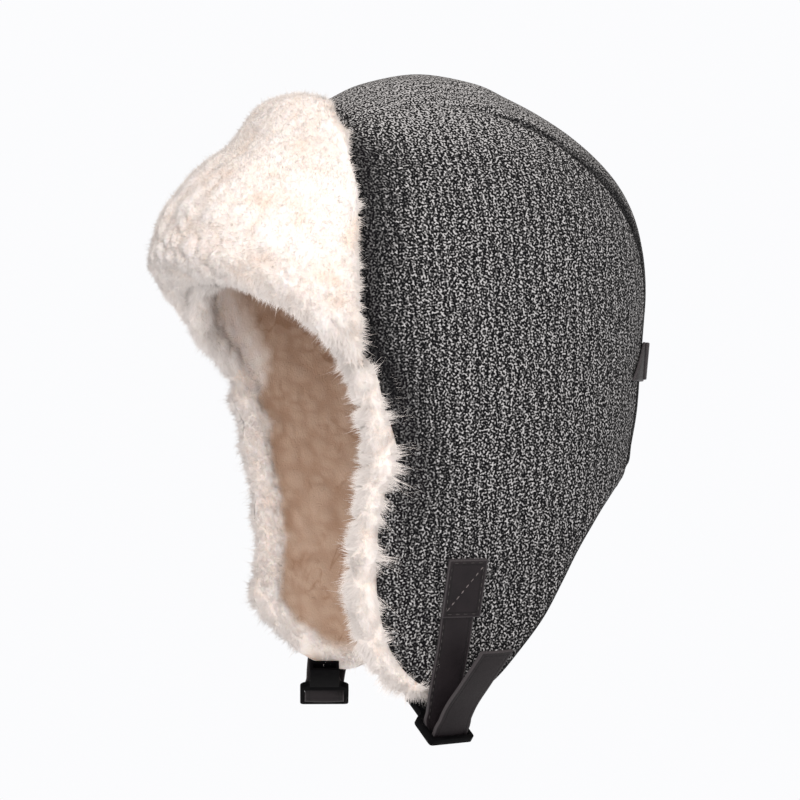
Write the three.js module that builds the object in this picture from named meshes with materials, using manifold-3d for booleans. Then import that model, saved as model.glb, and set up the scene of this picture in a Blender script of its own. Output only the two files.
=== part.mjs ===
// An earflap hat: a tweed knit shell over a thick pile lining, with a pile brim turned up in front
// and a leather strap with half of a side-release buckle on each earflap.
// Millimetres, +Z up. The wearer faces -Y, and the wearer's left is +X.
// The origin is the inside top of the lining, where the hat sits on the crown of the head.
import * as THREE from "three";
import { mergeVertices } from "three/addons/utils/BufferGeometryUtils.js";
import Module from "manifold-3d";

const wasm = await Module();
wasm.setup();

// Driving dimensions
const EAR_LINE = -142; // height of the ear line; every height in the tables is measured from it
const KNIT_WALL = 1.8;
const PILE_WALL = 12;
const LAYER_GAP = 0.4;
const SEAM_GAP = 0.3;
const LOCK_DEPTH = 2;
const LOCK_PITCH = 9; // spacing of the wool locks along an edge
const LOCKS_ROUND = 20; // wool locks round the inside of the lining
const LOCK_ROWS = 8; // and from its top to the earflaps' tips

// The shell's outside as horizontal rings, from the crown down to the tips of the earflaps.
// front, back and side are the ring's reach from the axis, and square is its superellipse power.
const RINGS = [
  { height: 156, front: 0, back: 0, side: 0, square: 2.0 },
  { height: 151, front: 27, back: 28, side: 27, square: 2.05 },
  { height: 144, front: 42.5, back: 43.5, side: 41, square: 2.1 },
  { height: 136, front: 56.5, back: 58.5, side: 54, square: 2.15 },
  { height: 126, front: 69.5, back: 73.5, side: 66, square: 2.2 },
  { height: 114, front: 82, back: 87, side: 76, square: 2.25 },
  { height: 101, front: 92.5, back: 97, side: 83.5, square: 2.3 },
  { height: 86, front: 101.5, back: 104, side: 89, square: 2.3 },
  { height: 69, front: 107.5, back: 107.5, side: 93, square: 2.3 },
  { height: 51, front: 110.5, back: 108.5, side: 95.5, square: 2.3 },
  { height: 33, front: 111, back: 106.5, side: 96.5, square: 2.35 },
  { height: 14, front: 110.5, back: 104, side: 96.5, square: 2.4 },
  { height: -5, front: 109, back: 101.5, side: 96, square: 2.45 },
  { height: -24, front: 107, back: 97.5, side: 94.5, square: 2.5 },
  { height: -44, front: 105, back: 94, side: 92.5, square: 2.5 },
  { height: -66, front: 104, back: 91.5, side: 89.5, square: 2.5 },
  { height: -90, front: 103, back: 89, side: 86, square: 2.5 },
  { height: -116, front: 102, back: 87, side: 82, square: 2.5 },
  { height: -144, front: 101, back: 85, side: 77, square: 2.5 },
];

// The hems seen from the side, from the forehead round the earflap's tip to the nape.
const KNIT_HEM = [
  { back: -122, height: 70 },
  { back: -106, height: 64 },
  { back: -92, height: 52 },
  { back: -78, height: 38 },
  { back: -66, height: 27 },
  { back: -57, height: 19 },
  { back: -52, height: 10 },
  { back: -49, height: -3 },
  { back: -45, height: -14 },
  { back: -43, height: -24 },
  { back: -46, height: -36 },
  { back: -49, height: -50 },
  { back: -50, height: -68 },
  { back: -49, height: -86 },
  { back: -46, height: -101 },
  { back: -41, height: -114 },
  { back: -33, height: -124 },
  { back: -24, height: -130 },
  { back: -12, height: -133.5 },
  { back: 1, height: -132 },
  { back: 10, height: -126 },
  { back: 21, height: -113.5 },
  { back: 32, height: -99.5 },
  { back: 41, height: -84.5 },
  { back: 50, height: -70 },
  { back: 59, height: -58.5 },
  { back: 68, height: -48.5 },
  { back: 80, height: -39 },
  { back: 92, height: -35.5 },
  { back: 124, height: -35 },
];
const PILE_HEM = [
  { back: -124, height: 58 },
  { back: -110, height: 53 },
  { back: -98, height: 43 },
  { back: -86, height: 31 },
  { back: -76, height: 22 },
  { back: -68, height: 13 },
  { back: -63, height: 3 },
  { back: -60, height: -8 },
  { back: -58.5, height: -20 },
  { back: -58.5, height: -35 },
  { back: -60.5, height: -47 },
  { back: -62, height: -60 },
  { back: -62.5, height: -75 },
  { back: -62, height: -90 },
  { back: -59, height: -103 },
  { back: -54, height: -114 },
  { back: -48, height: -123 },
  { back: -40, height: -130.5 },
  { back: -30, height: -135.5 },
  { back: -20, height: -137.5 },
  { back: -8, height: -137 },
  { back: 2, height: -133.5 },
  { back: 11, height: -126.5 },
  { back: 21.5, height: -112 },
  { back: 32.5, height: -98 },
  { back: 41.5, height: -83 },
  { back: 50.5, height: -68.5 },
  { back: 59.5, height: -57.5 },
  { back: 69, height: -48.5 },
  { back: 81, height: -40.5 },
  { back: 93, height: -37 },
  { back: 124, height: -36.5 },
];

// Half the width of the crown's centre strip, from the forehead over the top to the nape.
const STRIP = [
  { back: -130, half: 40 },
  { back: -80, half: 44 },
  { back: -20, half: 51 },
  { back: 15, half: 57 },
  { back: 50, half: 62.5 },
  { back: 72, half: 63 },
  { back: 86, half: 58.5 },
  { back: 100, half: 51 },
  { back: 130, half: 38 },
];

// The turned-up brim, from its fold at the forehead (rise 0) to its top edge (rise 1).
// thick is the pile's depth in front, and lean its distance from the crown.
const BRIM = [
  { rise: 0, thick: 17, lean: 0 },
  { rise: 0.14, thick: 18.5, lean: 0.4 },
  { rise: 0.29, thick: 16, lean: 0.8 },
  { rise: 0.43, thick: 12.5, lean: 1.2 },
  { rise: 0.57, thick: 9, lean: 1.6 },
  { rise: 0.71, thick: 7.5, lean: 2 },
  { rise: 0.86, thick: 9, lean: 2.4 },
  { rise: 1, thick: 8.5, lean: 2.8 },
];
const BRIM_FOLD = { front: 54, end: 13, angle: 63 }; // heights, and the end's degrees round from the front
const BRIM_EDGE = { front: 137, end: 130, angle: 46 };
const BRIM_BACKING = 1.6;

// The leather strap of the wearer's left, along the middle of the leather: sewn to the earflap,
// hanging from it to the buckle's bar, and folded up outside the bar as a free end.
const STRAP_WIDTH = 18.5;
const STRAP_THICK = 1.8;
const RIGHT_STRAP_AHEAD = 3.5; // the right strap is sewn this much nearer the face
const BAR = { side: 81.4, back: -16.4, height: -149.5, radius: 1.5, turn: 18 };
const STRAP_SEWN = [
  { back: -9.1, height: -71 },
  { back: -10.3, height: -84 },
  { back: -11.4, height: -97 },
];
const STRAP_HANGING = [
  { side: 84.9, back: -13, height: -111, turn: 1 },
  { side: 82.9, back: -14.8, height: -124, turn: 2 },
  { side: 81.3, back: -16.4, height: -135, turn: 5 },
  { side: 79.4, back: -17.2, height: -143, turn: 12 },
];
const STRAP_END = [
  { side: 88.3, back: -12.2, height: -138.5, turn: 18 },
  { side: 94, back: -7.4, height: -128, turn: 19 },
  { side: 98.6, back: -3.4, height: -119.5, turn: 19 },
  { side: 102, back: 0.4, height: -112, turn: 19 },
];

// The buckle halves, measured from the bar, lying up against the inside of the earflap
const BUCKLE_RISE = 38; // degrees above the horizontal
const BUCKLE_WIDTH = 24.5;
const BUCKLE_PLATE = 3.2;
const WINDOW = { width: 20, low: -4.1, high: 7 };
const RAIL_LOW = -6.1;
const BASE_LENGTH = 9;
const SHOULDER_LENGTH = 4;
const NECK_WIDTH = 14.5;
const BUCKLE_LENGTH = 28;
const SOCKET_THICK = 5.6;
const MOUTH = { width: 11.4, thick: 2.8, depth: 12 };

// The leather tab across the back, sewn down at its slanted ends
const TAB_LOW = { height: 9, half: 42 }; // half is the degrees round from the back to its end
const TAB_HIGH = { height: 27.5, half: 30 };
const TAB_THICK = 1.8;
const TAB_ARCH = 1; // how far its middle stands off the knit

const toRadians = THREE.MathUtils.degToRad;
const lerp = THREE.MathUtils.lerp;

// A smooth value between the rows of a table, at a fractional row number.
function between(rows, at, column) {
  const i = Math.min(Math.max(Math.floor(at), 0), rows.length - 2);
  const f = at - i;
  const row = (k) => rows[Math.min(Math.max(k, 0), rows.length - 1)][column];
  // The ring above the top is the ring below it, seen across the axis.
  const before = i === 0 && rows === RINGS ? (column === "height" || column === "square" ? 1 : -1) * row(1) : row(i - 1);
  const [p0, p1, p2, p3] = [before, row(i), row(i + 1), row(i + 2)];
  return p1 + 0.5 * f * (p2 - p0 + f * (2 * p0 - 5 * p1 + 4 * p2 - p3 + f * (3 * (p1 - p2) + p3 - p0)));
}

// The fractional row number at which a table's column has a value.
function rowAt(rows, column, value) {
  let [low, high] = [0, rows.length - 1];
  const rising = rows[high][column] > rows[low][column];
  for (let step = 0; step < 40; step++) {
    const middle = (low + high) / 2;
    if (between(rows, middle, column) < value === rising) low = middle;
    else high = middle;
  }
  return (low + high) / 2;
}

// A point of the shell's outside: row counts down the rings, and angle goes round from the front.
function shellPoint(row, angle) {
  const power = 2 / between(RINGS, row, "square");
  const [s, c] = [Math.sin(angle), Math.cos(angle)];
  const side = between(RINGS, row, "side") * Math.sign(s) * Math.abs(s) ** power;
  const reach = between(RINGS, row, c > 0 ? "front" : "back");
  const back = -reach * Math.sign(c) * Math.abs(c) ** power;
  return new THREE.Vector3(side, back, between(RINGS, row, "height") + EAR_LINE);
}

// The place on the shell's left side that lies at a height, a distance back from the axis.
function shellPlace(back, height) {
  const row = rowAt(RINGS, "height", height);
  const reach = between(RINGS, row, back < 0 ? "front" : "back");
  const c = (Math.abs(back) / reach) ** (between(RINGS, row, "square") / 2);
  return { row, angle: Math.acos(-Math.sign(back) * c) };
}

// The direction out of the shell at a place.
function shellNormal(row, angle) {
  const step = 0.02;
  const down = shellPoint(row + step, angle).sub(shellPoint(row - step, angle));
  const round = shellPoint(row, angle + step).sub(shellPoint(row, angle - step));
  return down.cross(round).normalize();
}

// The shell's surface moved out by a distance.
function shellOffset(row, angle, out) {
  if (row < 0.02) return new THREE.Vector3(0, 0, RINGS[0].height + EAR_LINE + out);
  return shellPoint(row, angle).addScaledVector(shellNormal(row, angle), out);
}

// Rounded wool locks in staggered rows, from 0 between the locks to 1 on top of them.
function locks(along, across) {
  const row = Math.round(across);
  const shifted = along + (row % 2 ? 0.5 : 0) + 0.16 * Math.sin(row * 2.7);
  const swell = Math.cos(Math.PI * (shifted - Math.round(shifted))) * Math.cos(Math.PI * (across - row));
  return Math.max(0, swell) * (0.75 + 0.25 * Math.sin(Math.round(shifted) * 5.3 + row * 3.1));
}

function solidOf(geometry) {
  const bare = geometry.index ? geometry.toNonIndexed() : geometry.clone();
  bare.deleteAttribute("normal");
  bare.deleteAttribute("uv");
  const merged = mergeVertices(bare, 1e-3);
  return new wasm.Manifold(
    new wasm.Mesh({
      numProp: 3,
      vertProperties: merged.attributes.position.array,
      triVerts: new Uint32Array(merged.index.array),
    }),
  );
}

function geometryOf(solid) {
  const mesh = solid.getMesh();
  const geometry = new THREE.BufferGeometry();
  geometry.setAttribute("position", new THREE.BufferAttribute(mesh.vertProperties, 3));
  geometry.setIndex(new THREE.BufferAttribute(mesh.triVerts, 1));
  return geometry.toNonIndexed();
}

// A closed sheet between two surfaces, each a function of two numbers from 0 to 1.
function sheetGeometry(columns, rows, outside, inside) {
  const points = [];
  for (const face of [outside, inside])
    for (let j = 0; j <= rows; j++)
      for (let i = 0; i <= columns; i++) points.push(...face(i / columns, j / rows).toArray());
  const index = [];
  const back = (columns + 1) * (rows + 1);
  const at = (i, j) => j * (columns + 1) + i;
  const quad = (a, b, c, d) => index.push(a, b, c, a, c, d);
  for (let j = 0; j < rows; j++)
    for (let i = 0; i < columns; i++) {
      const corners = [at(i, j), at(i + 1, j), at(i + 1, j + 1), at(i, j + 1)];
      quad(...corners);
      quad(...corners.map((k) => k + back).reverse());
    }
  const rim = (a, b) => quad(b, a, a + back, b + back);
  for (let i = 0; i < columns; i++) {
    rim(at(i, 0), at(i + 1, 0));
    rim(at(i + 1, rows), at(i, rows));
  }
  for (let j = 0; j < rows; j++) {
    rim(at(0, j + 1), at(0, j));
    rim(at(columns, j), at(columns, j + 1));
  }
  const geometry = new THREE.BufferGeometry();
  geometry.setAttribute("position", new THREE.Float32BufferAttribute(points, 3));
  geometry.setIndex(index);
  return geometry;
}

// A closed bell: the shell's form all the way round, between two distances inside it.
function bellSolid(outer, inner) {
  const [rounds, rows, last] = [40, 16, RINGS.length - 1];
  const points = [];
  for (const depth of [outer, inner]) {
    points.push(...shellOffset(0, 0, -depth(0, 0)).toArray());
    for (let j = 1; j <= rows; j++)
      for (let i = 0; i < rounds; i++) {
        const [row, angle] = [(last * j) / rows, (2 * Math.PI * i) / rounds];
        points.push(...shellOffset(row, angle, -depth(row, angle)).toArray());
      }
  }
  const wall = 1 + rows * rounds;
  const at = (layer, j, i) => layer * wall + (j === 0 ? 0 : 1 + (j - 1) * rounds + (i % rounds));
  const index = [];
  for (let i = 0; i < rounds; i++) {
    index.push(at(0, 0, i), at(0, 1, i), at(0, 1, i + 1));
    index.push(at(1, 0, i), at(1, 1, i + 1), at(1, 1, i));
    for (let j = 1; j < rows; j++) {
      const [a, b, c, d] = [[j, i], [j + 1, i], [j + 1, i + 1], [j, i + 1]];
      index.push(at(0, ...a), at(0, ...b), at(0, ...c), at(0, ...a), at(0, ...c), at(0, ...d));
      index.push(at(1, ...c), at(1, ...b), at(1, ...a), at(1, ...d), at(1, ...c), at(1, ...a));
    }
    const [a, b] = [at(0, rows, i), at(0, rows, i + 1)];
    index.push(a, a + wall, b, b, a + wall, b + wall);
  }
  const geometry = new THREE.BufferGeometry();
  geometry.setAttribute("position", new THREE.Float32BufferAttribute(points, 3));
  geometry.setIndex(index);
  return solidOf(geometry);
}

// What lies above a hem, as a solid right across the hat. Locks, if any, scallop its edge.
function aboveHem(hem, divisions, lockDepth) {
  const curve = new THREE.SplineCurve(hem.map((p) => new THREE.Vector2(p.back, p.height)));
  const length = curve.getLength();
  const edge = curve.getSpacedPoints(divisions).map((p, i) => {
    const along = curve.getTangentAt(i / divisions);
    const swell = Math.sin((Math.PI * length * i) / (divisions * LOCK_PITCH)) ** 2;
    return new THREE.Vector2(p.x + along.y * lockDepth * swell, p.y - along.x * lockDepth * swell);
  });
  const reach = 200;
  edge.push(new THREE.Vector2(reach, edge.at(-1).y), new THREE.Vector2(reach, reach));
  edge.push(new THREE.Vector2(-reach, reach), new THREE.Vector2(-reach, edge[0].y));
  const slab = new THREE.ExtrudeGeometry(new THREE.Shape(edge), { depth: 2 * reach, bevelEnabled: false });
  slab.translate(0, 0, -reach);
  // The drawing's axes become back, up and side.
  slab.applyMatrix4(
    new THREE.Matrix4().makeBasis(new THREE.Vector3(0, 1, 0), new THREE.Vector3(0, 0, 1), new THREE.Vector3(1, 0, 0)),
  );
  slab.translate(0, 0, EAR_LINE);
  return solidOf(slab);
}

// The crown's centre strip as an upright slab, wider by a margin on both sides.
function stripSlab(margin) {
  const curve = new THREE.SplineCurve(STRIP.map((p) => new THREE.Vector2(p.half + margin, p.back)));
  const right = curve.getPoints(14);
  const left = right.map((p) => new THREE.Vector2(-p.x, p.y)).reverse();
  const reach = 220;
  const slab = new THREE.ExtrudeGeometry(new THREE.Shape([...right, ...left]), { depth: 2 * reach, bevelEnabled: false });
  slab.translate(0, 0, -reach);
  return solidOf(slab);
}

function halfSpace(sign) {
  const reach = 400;
  return solidOf(new THREE.BoxGeometry(reach, reach, 2 * reach).translate((sign * reach) / 2, 0, 0));
}

const shell = bellSolid(() => 0, () => KNIT_WALL).intersect(aboveHem(KNIT_HEM, 48, 0));
const strip = shell.intersect(stripSlab(0));
const sides = shell.subtract(stripSlab(SEAM_GAP));
const pile = bellSolid(
  () => KNIT_WALL + LAYER_GAP,
  (row, angle) => {
    const swell = locks((LOCKS_ROUND * angle) / (2 * Math.PI), (row * LOCK_ROWS) / (RINGS.length - 1));
    return KNIT_WALL + LAYER_GAP + PILE_WALL + LOCK_DEPTH * (swell - 0.5) * Math.min(1, row / 2);
  },
).intersect(aboveHem(PILE_HEM, 100, LOCK_DEPTH));

// Where the brim lies on the crown: round goes from -1 at its right end to 1 at its left end.
function brimPlace(round, rise) {
  const angle = toRadians(round * lerp(BRIM_FOLD.angle, BRIM_EDGE.angle, rise ** 2.5));
  const fold = lerp(BRIM_FOLD.front, BRIM_FOLD.end, Math.abs(round) ** 2.5);
  const edge = lerp(BRIM_EDGE.front, BRIM_EDGE.end, round * round);
  return { row: rowAt(RINGS, "height", lerp(fold, edge, rise)), angle };
}

function brimLean(rise) {
  return LAYER_GAP + between(BRIM, rise * (BRIM.length - 1), "lean");
}

// The rounding of the pile's edges, from 0 at the edge to 1 inside.
function rounding(round, rise) {
  const end = 1 - Math.abs(round) ** 7;
  const top = 1 - rise ** 9;
  const fold = 1 - (1 - rise) ** 14;
  return Math.sqrt(Math.max(0, end * top * fold));
}

const brimFace = (out) => (u, v) => {
  const { row, angle } = brimPlace(2 * u - 1, v);
  return shellOffset(row, angle, out(2 * u - 1, v));
};

function brimPile() {
  const thin = 4;
  const outside = (round, rise) => {
    const full = between(BRIM, rise * (BRIM.length - 1), "thick") * lerp(1, 0.85, round * round);
    const swell = 1.3 * LOCK_DEPTH * (locks(round * 6, rise * 5) - 0.5);
    return brimLean(rise) + BRIM_BACKING + LAYER_GAP + thin + (full - thin + swell) * rounding(round, rise);
  };
  const inside = (round, rise) => brimLean(rise) + BRIM_BACKING + LAYER_GAP;
  return sheetGeometry(36, 15, brimFace(outside), brimFace(inside));
}

function brimBacking() {
  const inset = 0.985; // the backing stops just short of the pile's edges
  const place = (out) => (u, v) => {
    const rise = lerp(0.03, inset, v);
    const { row, angle } = brimPlace((2 * u - 1) * inset, rise);
    return shellOffset(row, angle, out(rise));
  };
  return sheetGeometry(22, 8, place((rise) => brimLean(rise) + BRIM_BACKING), place(brimLean));
}

// The directions across a strap that has been turned about the vertical, and out from the earflap.
const acrossStrap = (turn) => new THREE.Vector3(-Math.sin(toRadians(turn)), Math.cos(toRadians(turn)), 0);
const outOfStrap = (turn) => new THREE.Vector3(Math.cos(toRadians(turn)), Math.sin(toRadians(turn)), 0);

function strapStations() {
  const free = (p) => ({ at: new THREE.Vector3(p.side, p.back, p.height + EAR_LINE), turn: p.turn });
  const sewn = (p) => {
    const { row, angle } = shellPlace(p.back, p.height);
    return { at: shellOffset(row, angle, LAYER_GAP + STRAP_THICK / 2), turn: 0 };
  };
  const bend = BAR.radius + LAYER_GAP + STRAP_THICK / 2;
  const round = (degrees) => {
    const at = new THREE.Vector3(BAR.side, BAR.back, BAR.height + EAR_LINE + bend * Math.sin(toRadians(degrees)));
    return { at: at.addScaledVector(outOfStrap(BAR.turn), bend * Math.cos(toRadians(degrees))), turn: BAR.turn };
  };
  const bar = [180, 210, 240, 270, 300, 330].map(round);
  return [...STRAP_SEWN.map(sewn), ...STRAP_HANGING.map(free), ...bar, ...STRAP_END.map(free)];
}

function strap() {
  const stations = strapStations();
  const line = new THREE.CatmullRomCurve3(stations.map((s) => s.at), false, "centripetal");
  const face = (side) => (u, v) => {
    const k = Math.min(Math.floor(v * (stations.length - 1)), stations.length - 2);
    const turn = lerp(stations[k].turn, stations[k + 1].turn, v * (stations.length - 1) - k);
    const across = acrossStrap(turn);
    const out = across.clone().cross(line.getTangent(v)).normalize();
    const at = line.getPoint(v).addScaledVector(across, (u - 0.5) * STRAP_WIDTH);
    return at.addScaledVector(out, (side * STRAP_THICK) / 2);
  };
  return sheetGeometry(2, 2 * (stations.length - 1), face(1), face(-1));
}

// The outline of a buckle half, from its rail up to a neck whose end is drawn by top.
function buckleShape(top) {
  const [wide, neck, corner] = [BUCKLE_WIDTH / 2, NECK_WIDTH / 2, 1.8];
  const shape = new THREE.Shape();
  shape.moveTo(-wide + corner, RAIL_LOW);
  shape.lineTo(wide - corner, RAIL_LOW);
  shape.quadraticCurveTo(wide, RAIL_LOW, wide, RAIL_LOW + corner);
  shape.lineTo(wide, BASE_LENGTH - corner);
  shape.quadraticCurveTo(wide, BASE_LENGTH, wide - corner, BASE_LENGTH + 1);
  shape.quadraticCurveTo(neck, BASE_LENGTH + 2, neck, BASE_LENGTH + SHOULDER_LENGTH);
  top(shape, neck);
  shape.lineTo(-neck, BASE_LENGTH + SHOULDER_LENGTH);
  shape.quadraticCurveTo(-neck, BASE_LENGTH + 2, -wide + corner, BASE_LENGTH + 1);
  shape.quadraticCurveTo(-wide, BASE_LENGTH, -wide, BASE_LENGTH - corner);
  shape.lineTo(-wide, RAIL_LOW + corner);
  shape.quadraticCurveTo(-wide, RAIL_LOW, -wide + corner, RAIL_LOW);
  const window = new THREE.Path();
  const x = WINDOW.width / 2;
  window.moveTo(-x, WINDOW.low);
  window.lineTo(-x, WINDOW.high);
  window.lineTo(x, WINDOW.high);
  window.lineTo(x, WINDOW.low);
  shape.holes.push(window);
  return shape;
}

// The flat body of a buckle half with the round bar across its window.
function buckleBody(shape) {
  const body = new THREE.ExtrudeGeometry(shape, { depth: BUCKLE_PLATE, bevelEnabled: false, curveSegments: 4 });
  const bar = new THREE.CylinderGeometry(BAR.radius, BAR.radius, BUCKLE_WIDTH - 2, 12).rotateZ(Math.PI / 2);
  return solidOf(body.translate(0, 0, -BUCKLE_PLATE / 2)).add(solidOf(bar));
}

// The socket half: its neck is thicker and has a mouth for the prongs.
function socket() {
  const start = BASE_LENGTH + SHOULDER_LENGTH - 1;
  const body = buckleBody(
    buckleShape((shape, neck) => {
      shape.lineTo(neck, start + 3);
      shape.lineTo(-neck, start + 3);
    }),
  );
  const long = BUCKLE_LENGTH - start;
  const neck = new THREE.BoxGeometry(NECK_WIDTH, long, SOCKET_THICK).translate(0, start + long / 2, 0);
  const mouth = new THREE.BoxGeometry(MOUTH.width, 2 * MOUTH.depth, MOUTH.thick).translate(0, BUCKLE_LENGTH, 0);
  return geometryOf(body.add(solidOf(neck)).subtract(solidOf(mouth)));
}

// The plug half: two spring prongs with barbs beside a straight guide.
function plug() {
  const [arm, guide, barb] = [2.4, 1.7, 0.9];
  const from = BASE_LENGTH + SHOULDER_LENGTH + 1;
  const prongs = (shape, neck) => {
    shape.lineTo(neck, BUCKLE_LENGTH - 6);
    shape.lineTo(neck + barb, BUCKLE_LENGTH - 5.5);
    shape.lineTo(neck - arm * 0.6, BUCKLE_LENGTH);
    shape.lineTo(neck - arm, BUCKLE_LENGTH);
    shape.lineTo(neck - arm, from);
    shape.lineTo(guide, from);
    shape.lineTo(guide, BUCKLE_LENGTH - 1);
    shape.lineTo(-guide, BUCKLE_LENGTH - 1);
    shape.lineTo(-guide, from);
    shape.lineTo(-neck + arm, from);
    shape.lineTo(-neck + arm, BUCKLE_LENGTH);
    shape.lineTo(-neck + arm * 0.6, BUCKLE_LENGTH);
    shape.lineTo(-neck - barb, BUCKLE_LENGTH - 5.5);
    shape.lineTo(-neck, BUCKLE_LENGTH - 6);
  };
  return geometryOf(buckleBody(buckleShape(prongs)));
}

// Sets a buckle half on the wearer's left bar: its width along the bar, its length in and up.
function onBar(geometry) {
  const rise = toRadians(BUCKLE_RISE);
  const across = acrossStrap(BAR.turn);
  const long = outOfStrap(BAR.turn).multiplyScalar(-Math.cos(rise)).setZ(Math.sin(rise));
  const place = new THREE.Matrix4().makeBasis(across, long, across.clone().cross(long));
  place.setPosition(BAR.side, BAR.back, BAR.height + EAR_LINE);
  return geometry.applyMatrix4(place);
}

// The same geometry on the wearer's right, still facing out.
function onRight(geometry) {
  const other = geometry.index ? geometry.toNonIndexed() : geometry.clone();
  const position = other.attributes.position;
  for (let i = 0; i < position.count; i += 3) {
    const corners = [0, 2, 1].map((k) => new THREE.Vector3().fromBufferAttribute(position, i + k));
    corners.forEach((p, k) => position.setXYZ(i + k, -p.x, p.y - RIGHT_STRAP_AHEAD, p.z));
  }
  return other;
}

function backTab() {
  const face = (out) => (u, v) => {
    const half = lerp(TAB_LOW.half, TAB_HIGH.half, v);
    const angle = Math.PI + toRadians(lerp(half, -half, u));
    const row = rowAt(RINGS, "height", lerp(TAB_LOW.height, TAB_HIGH.height, v));
    const arch = TAB_ARCH * Math.sin(u * Math.PI) ** 0.6;
    return shellOffset(row, angle, LAYER_GAP + arch + out);
  };
  return sheetGeometry(24, 3, face(0), face(TAB_THICK));
}

// Where the pile makes way for a buckle half, down to below its edge.
function buckleBed() {
  const [deep, margin] = [12, 0.5];
  const thick = SOCKET_THICK / 2 + margin + deep;
  const bed = new THREE.BoxGeometry(BUCKLE_WIDTH - 4, BUCKLE_LENGTH + 2 * margin, thick);
  return onBar(bed.translate(0, BUCKLE_LENGTH / 2, SOCKET_THICK / 2 + margin - thick / 2));
}

const finishes = {
  knit: new THREE.MeshStandardMaterial({ color: 0x4a4a48, roughness: 0.95, metalness: 0 }),
  pile: new THREE.MeshStandardMaterial({ color: 0xf2e6da, roughness: 1, metalness: 0 }),
  leather: new THREE.MeshStandardMaterial({ color: 0x2b2423, roughness: 0.55, metalness: 0 }),
  plastic: new THREE.MeshStandardMaterial({ color: 0x131314, roughness: 0.35, metalness: 0 }),
};

const hat = new THREE.Group();

function add(name, geometry, finish) {
  const mesh = new THREE.Mesh(geometry, finish);
  mesh.name = name;
  hat.add(mesh);
}

add("crown_strip", geometryOf(strip), finishes.knit);
add("side_panel_left", geometryOf(sides.intersect(halfSpace(1))), finishes.knit);
add("side_panel_right", geometryOf(sides.intersect(halfSpace(-1))), finishes.knit);
const beddedPile = pile.subtract(solidOf(buckleBed())).subtract(solidOf(onRight(buckleBed())));
add("pile_lining", geometryOf(beddedPile), finishes.pile);
add("brim_pile", brimPile(), finishes.pile);
add("brim_backing", brimBacking(), finishes.knit);
add("strap_left", strap(), finishes.leather);
add("strap_right", onRight(strap()), finishes.leather);
add("buckle_socket", onRight(onBar(socket())), finishes.plastic);
add("buckle_plug", onBar(plug()), finishes.plastic);
add("back_tab", backTab(), finishes.leather);

export default hat;
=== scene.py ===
# An earflap trapper hat: a tweed knit shell, a deep curly pile lining and turned-up pile brim,
# leather straps with the halves of a side-release buckle, and a leather tab across the back.
# The tables are in millimetres; every mesh is made in metres, in the row's frame.
import math

import bmesh
import bpy
import numpy as np
from mathutils import Matrix, Vector, kdtree, noise


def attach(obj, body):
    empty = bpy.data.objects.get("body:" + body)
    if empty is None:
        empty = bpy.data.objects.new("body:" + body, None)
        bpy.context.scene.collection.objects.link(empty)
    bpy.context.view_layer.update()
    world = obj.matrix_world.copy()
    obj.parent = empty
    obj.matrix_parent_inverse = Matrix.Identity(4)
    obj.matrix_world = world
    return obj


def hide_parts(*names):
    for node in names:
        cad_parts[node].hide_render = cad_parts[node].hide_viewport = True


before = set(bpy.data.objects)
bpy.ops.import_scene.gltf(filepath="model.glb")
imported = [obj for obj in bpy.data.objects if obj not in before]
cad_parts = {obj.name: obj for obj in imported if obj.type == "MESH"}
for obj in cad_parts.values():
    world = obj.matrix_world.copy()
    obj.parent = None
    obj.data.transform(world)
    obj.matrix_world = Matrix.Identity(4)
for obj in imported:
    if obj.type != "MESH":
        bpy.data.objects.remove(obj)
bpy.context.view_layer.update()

MM = 0.001

# Driving dimensions, the same as the part's
EAR_LINE = -142
KNIT_WALL = 1.8
PILE_WALL = 12
LAYER_GAP = 0.4
SEAM_GAP = 0.3
MERGED = 0.05  # corners this near each other become one

RINGS = [
    dict(height=156, front=0, back=0, side=0, square=2.0),
    dict(height=151, front=27, back=28, side=27, square=2.05),
    dict(height=144, front=42.5, back=43.5, side=41, square=2.1),
    dict(height=136, front=56.5, back=58.5, side=54, square=2.15),
    dict(height=126, front=69.5, back=73.5, side=66, square=2.2),
    dict(height=114, front=82, back=87, side=76, square=2.25),
    dict(height=101, front=92.5, back=97, side=83.5, square=2.3),
    dict(height=86, front=101.5, back=104, side=89, square=2.3),
    dict(height=69, front=107.5, back=107.5, side=93, square=2.3),
    dict(height=51, front=110.5, back=108.5, side=95.5, square=2.3),
    dict(height=33, front=111, back=106.5, side=96.5, square=2.35),
    dict(height=14, front=110.5, back=104, side=96.5, square=2.4),
    dict(height=-5, front=109, back=101.5, side=96, square=2.45),
    dict(height=-24, front=107, back=97.5, side=94.5, square=2.5),
    dict(height=-44, front=105, back=94, side=92.5, square=2.5),
    dict(height=-66, front=104, back=91.5, side=89.5, square=2.5),
    dict(height=-90, front=103, back=89, side=86, square=2.5),
    dict(height=-116, front=102, back=87, side=82, square=2.5),
    dict(height=-144, front=101, back=85, side=77, square=2.5),
]

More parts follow.
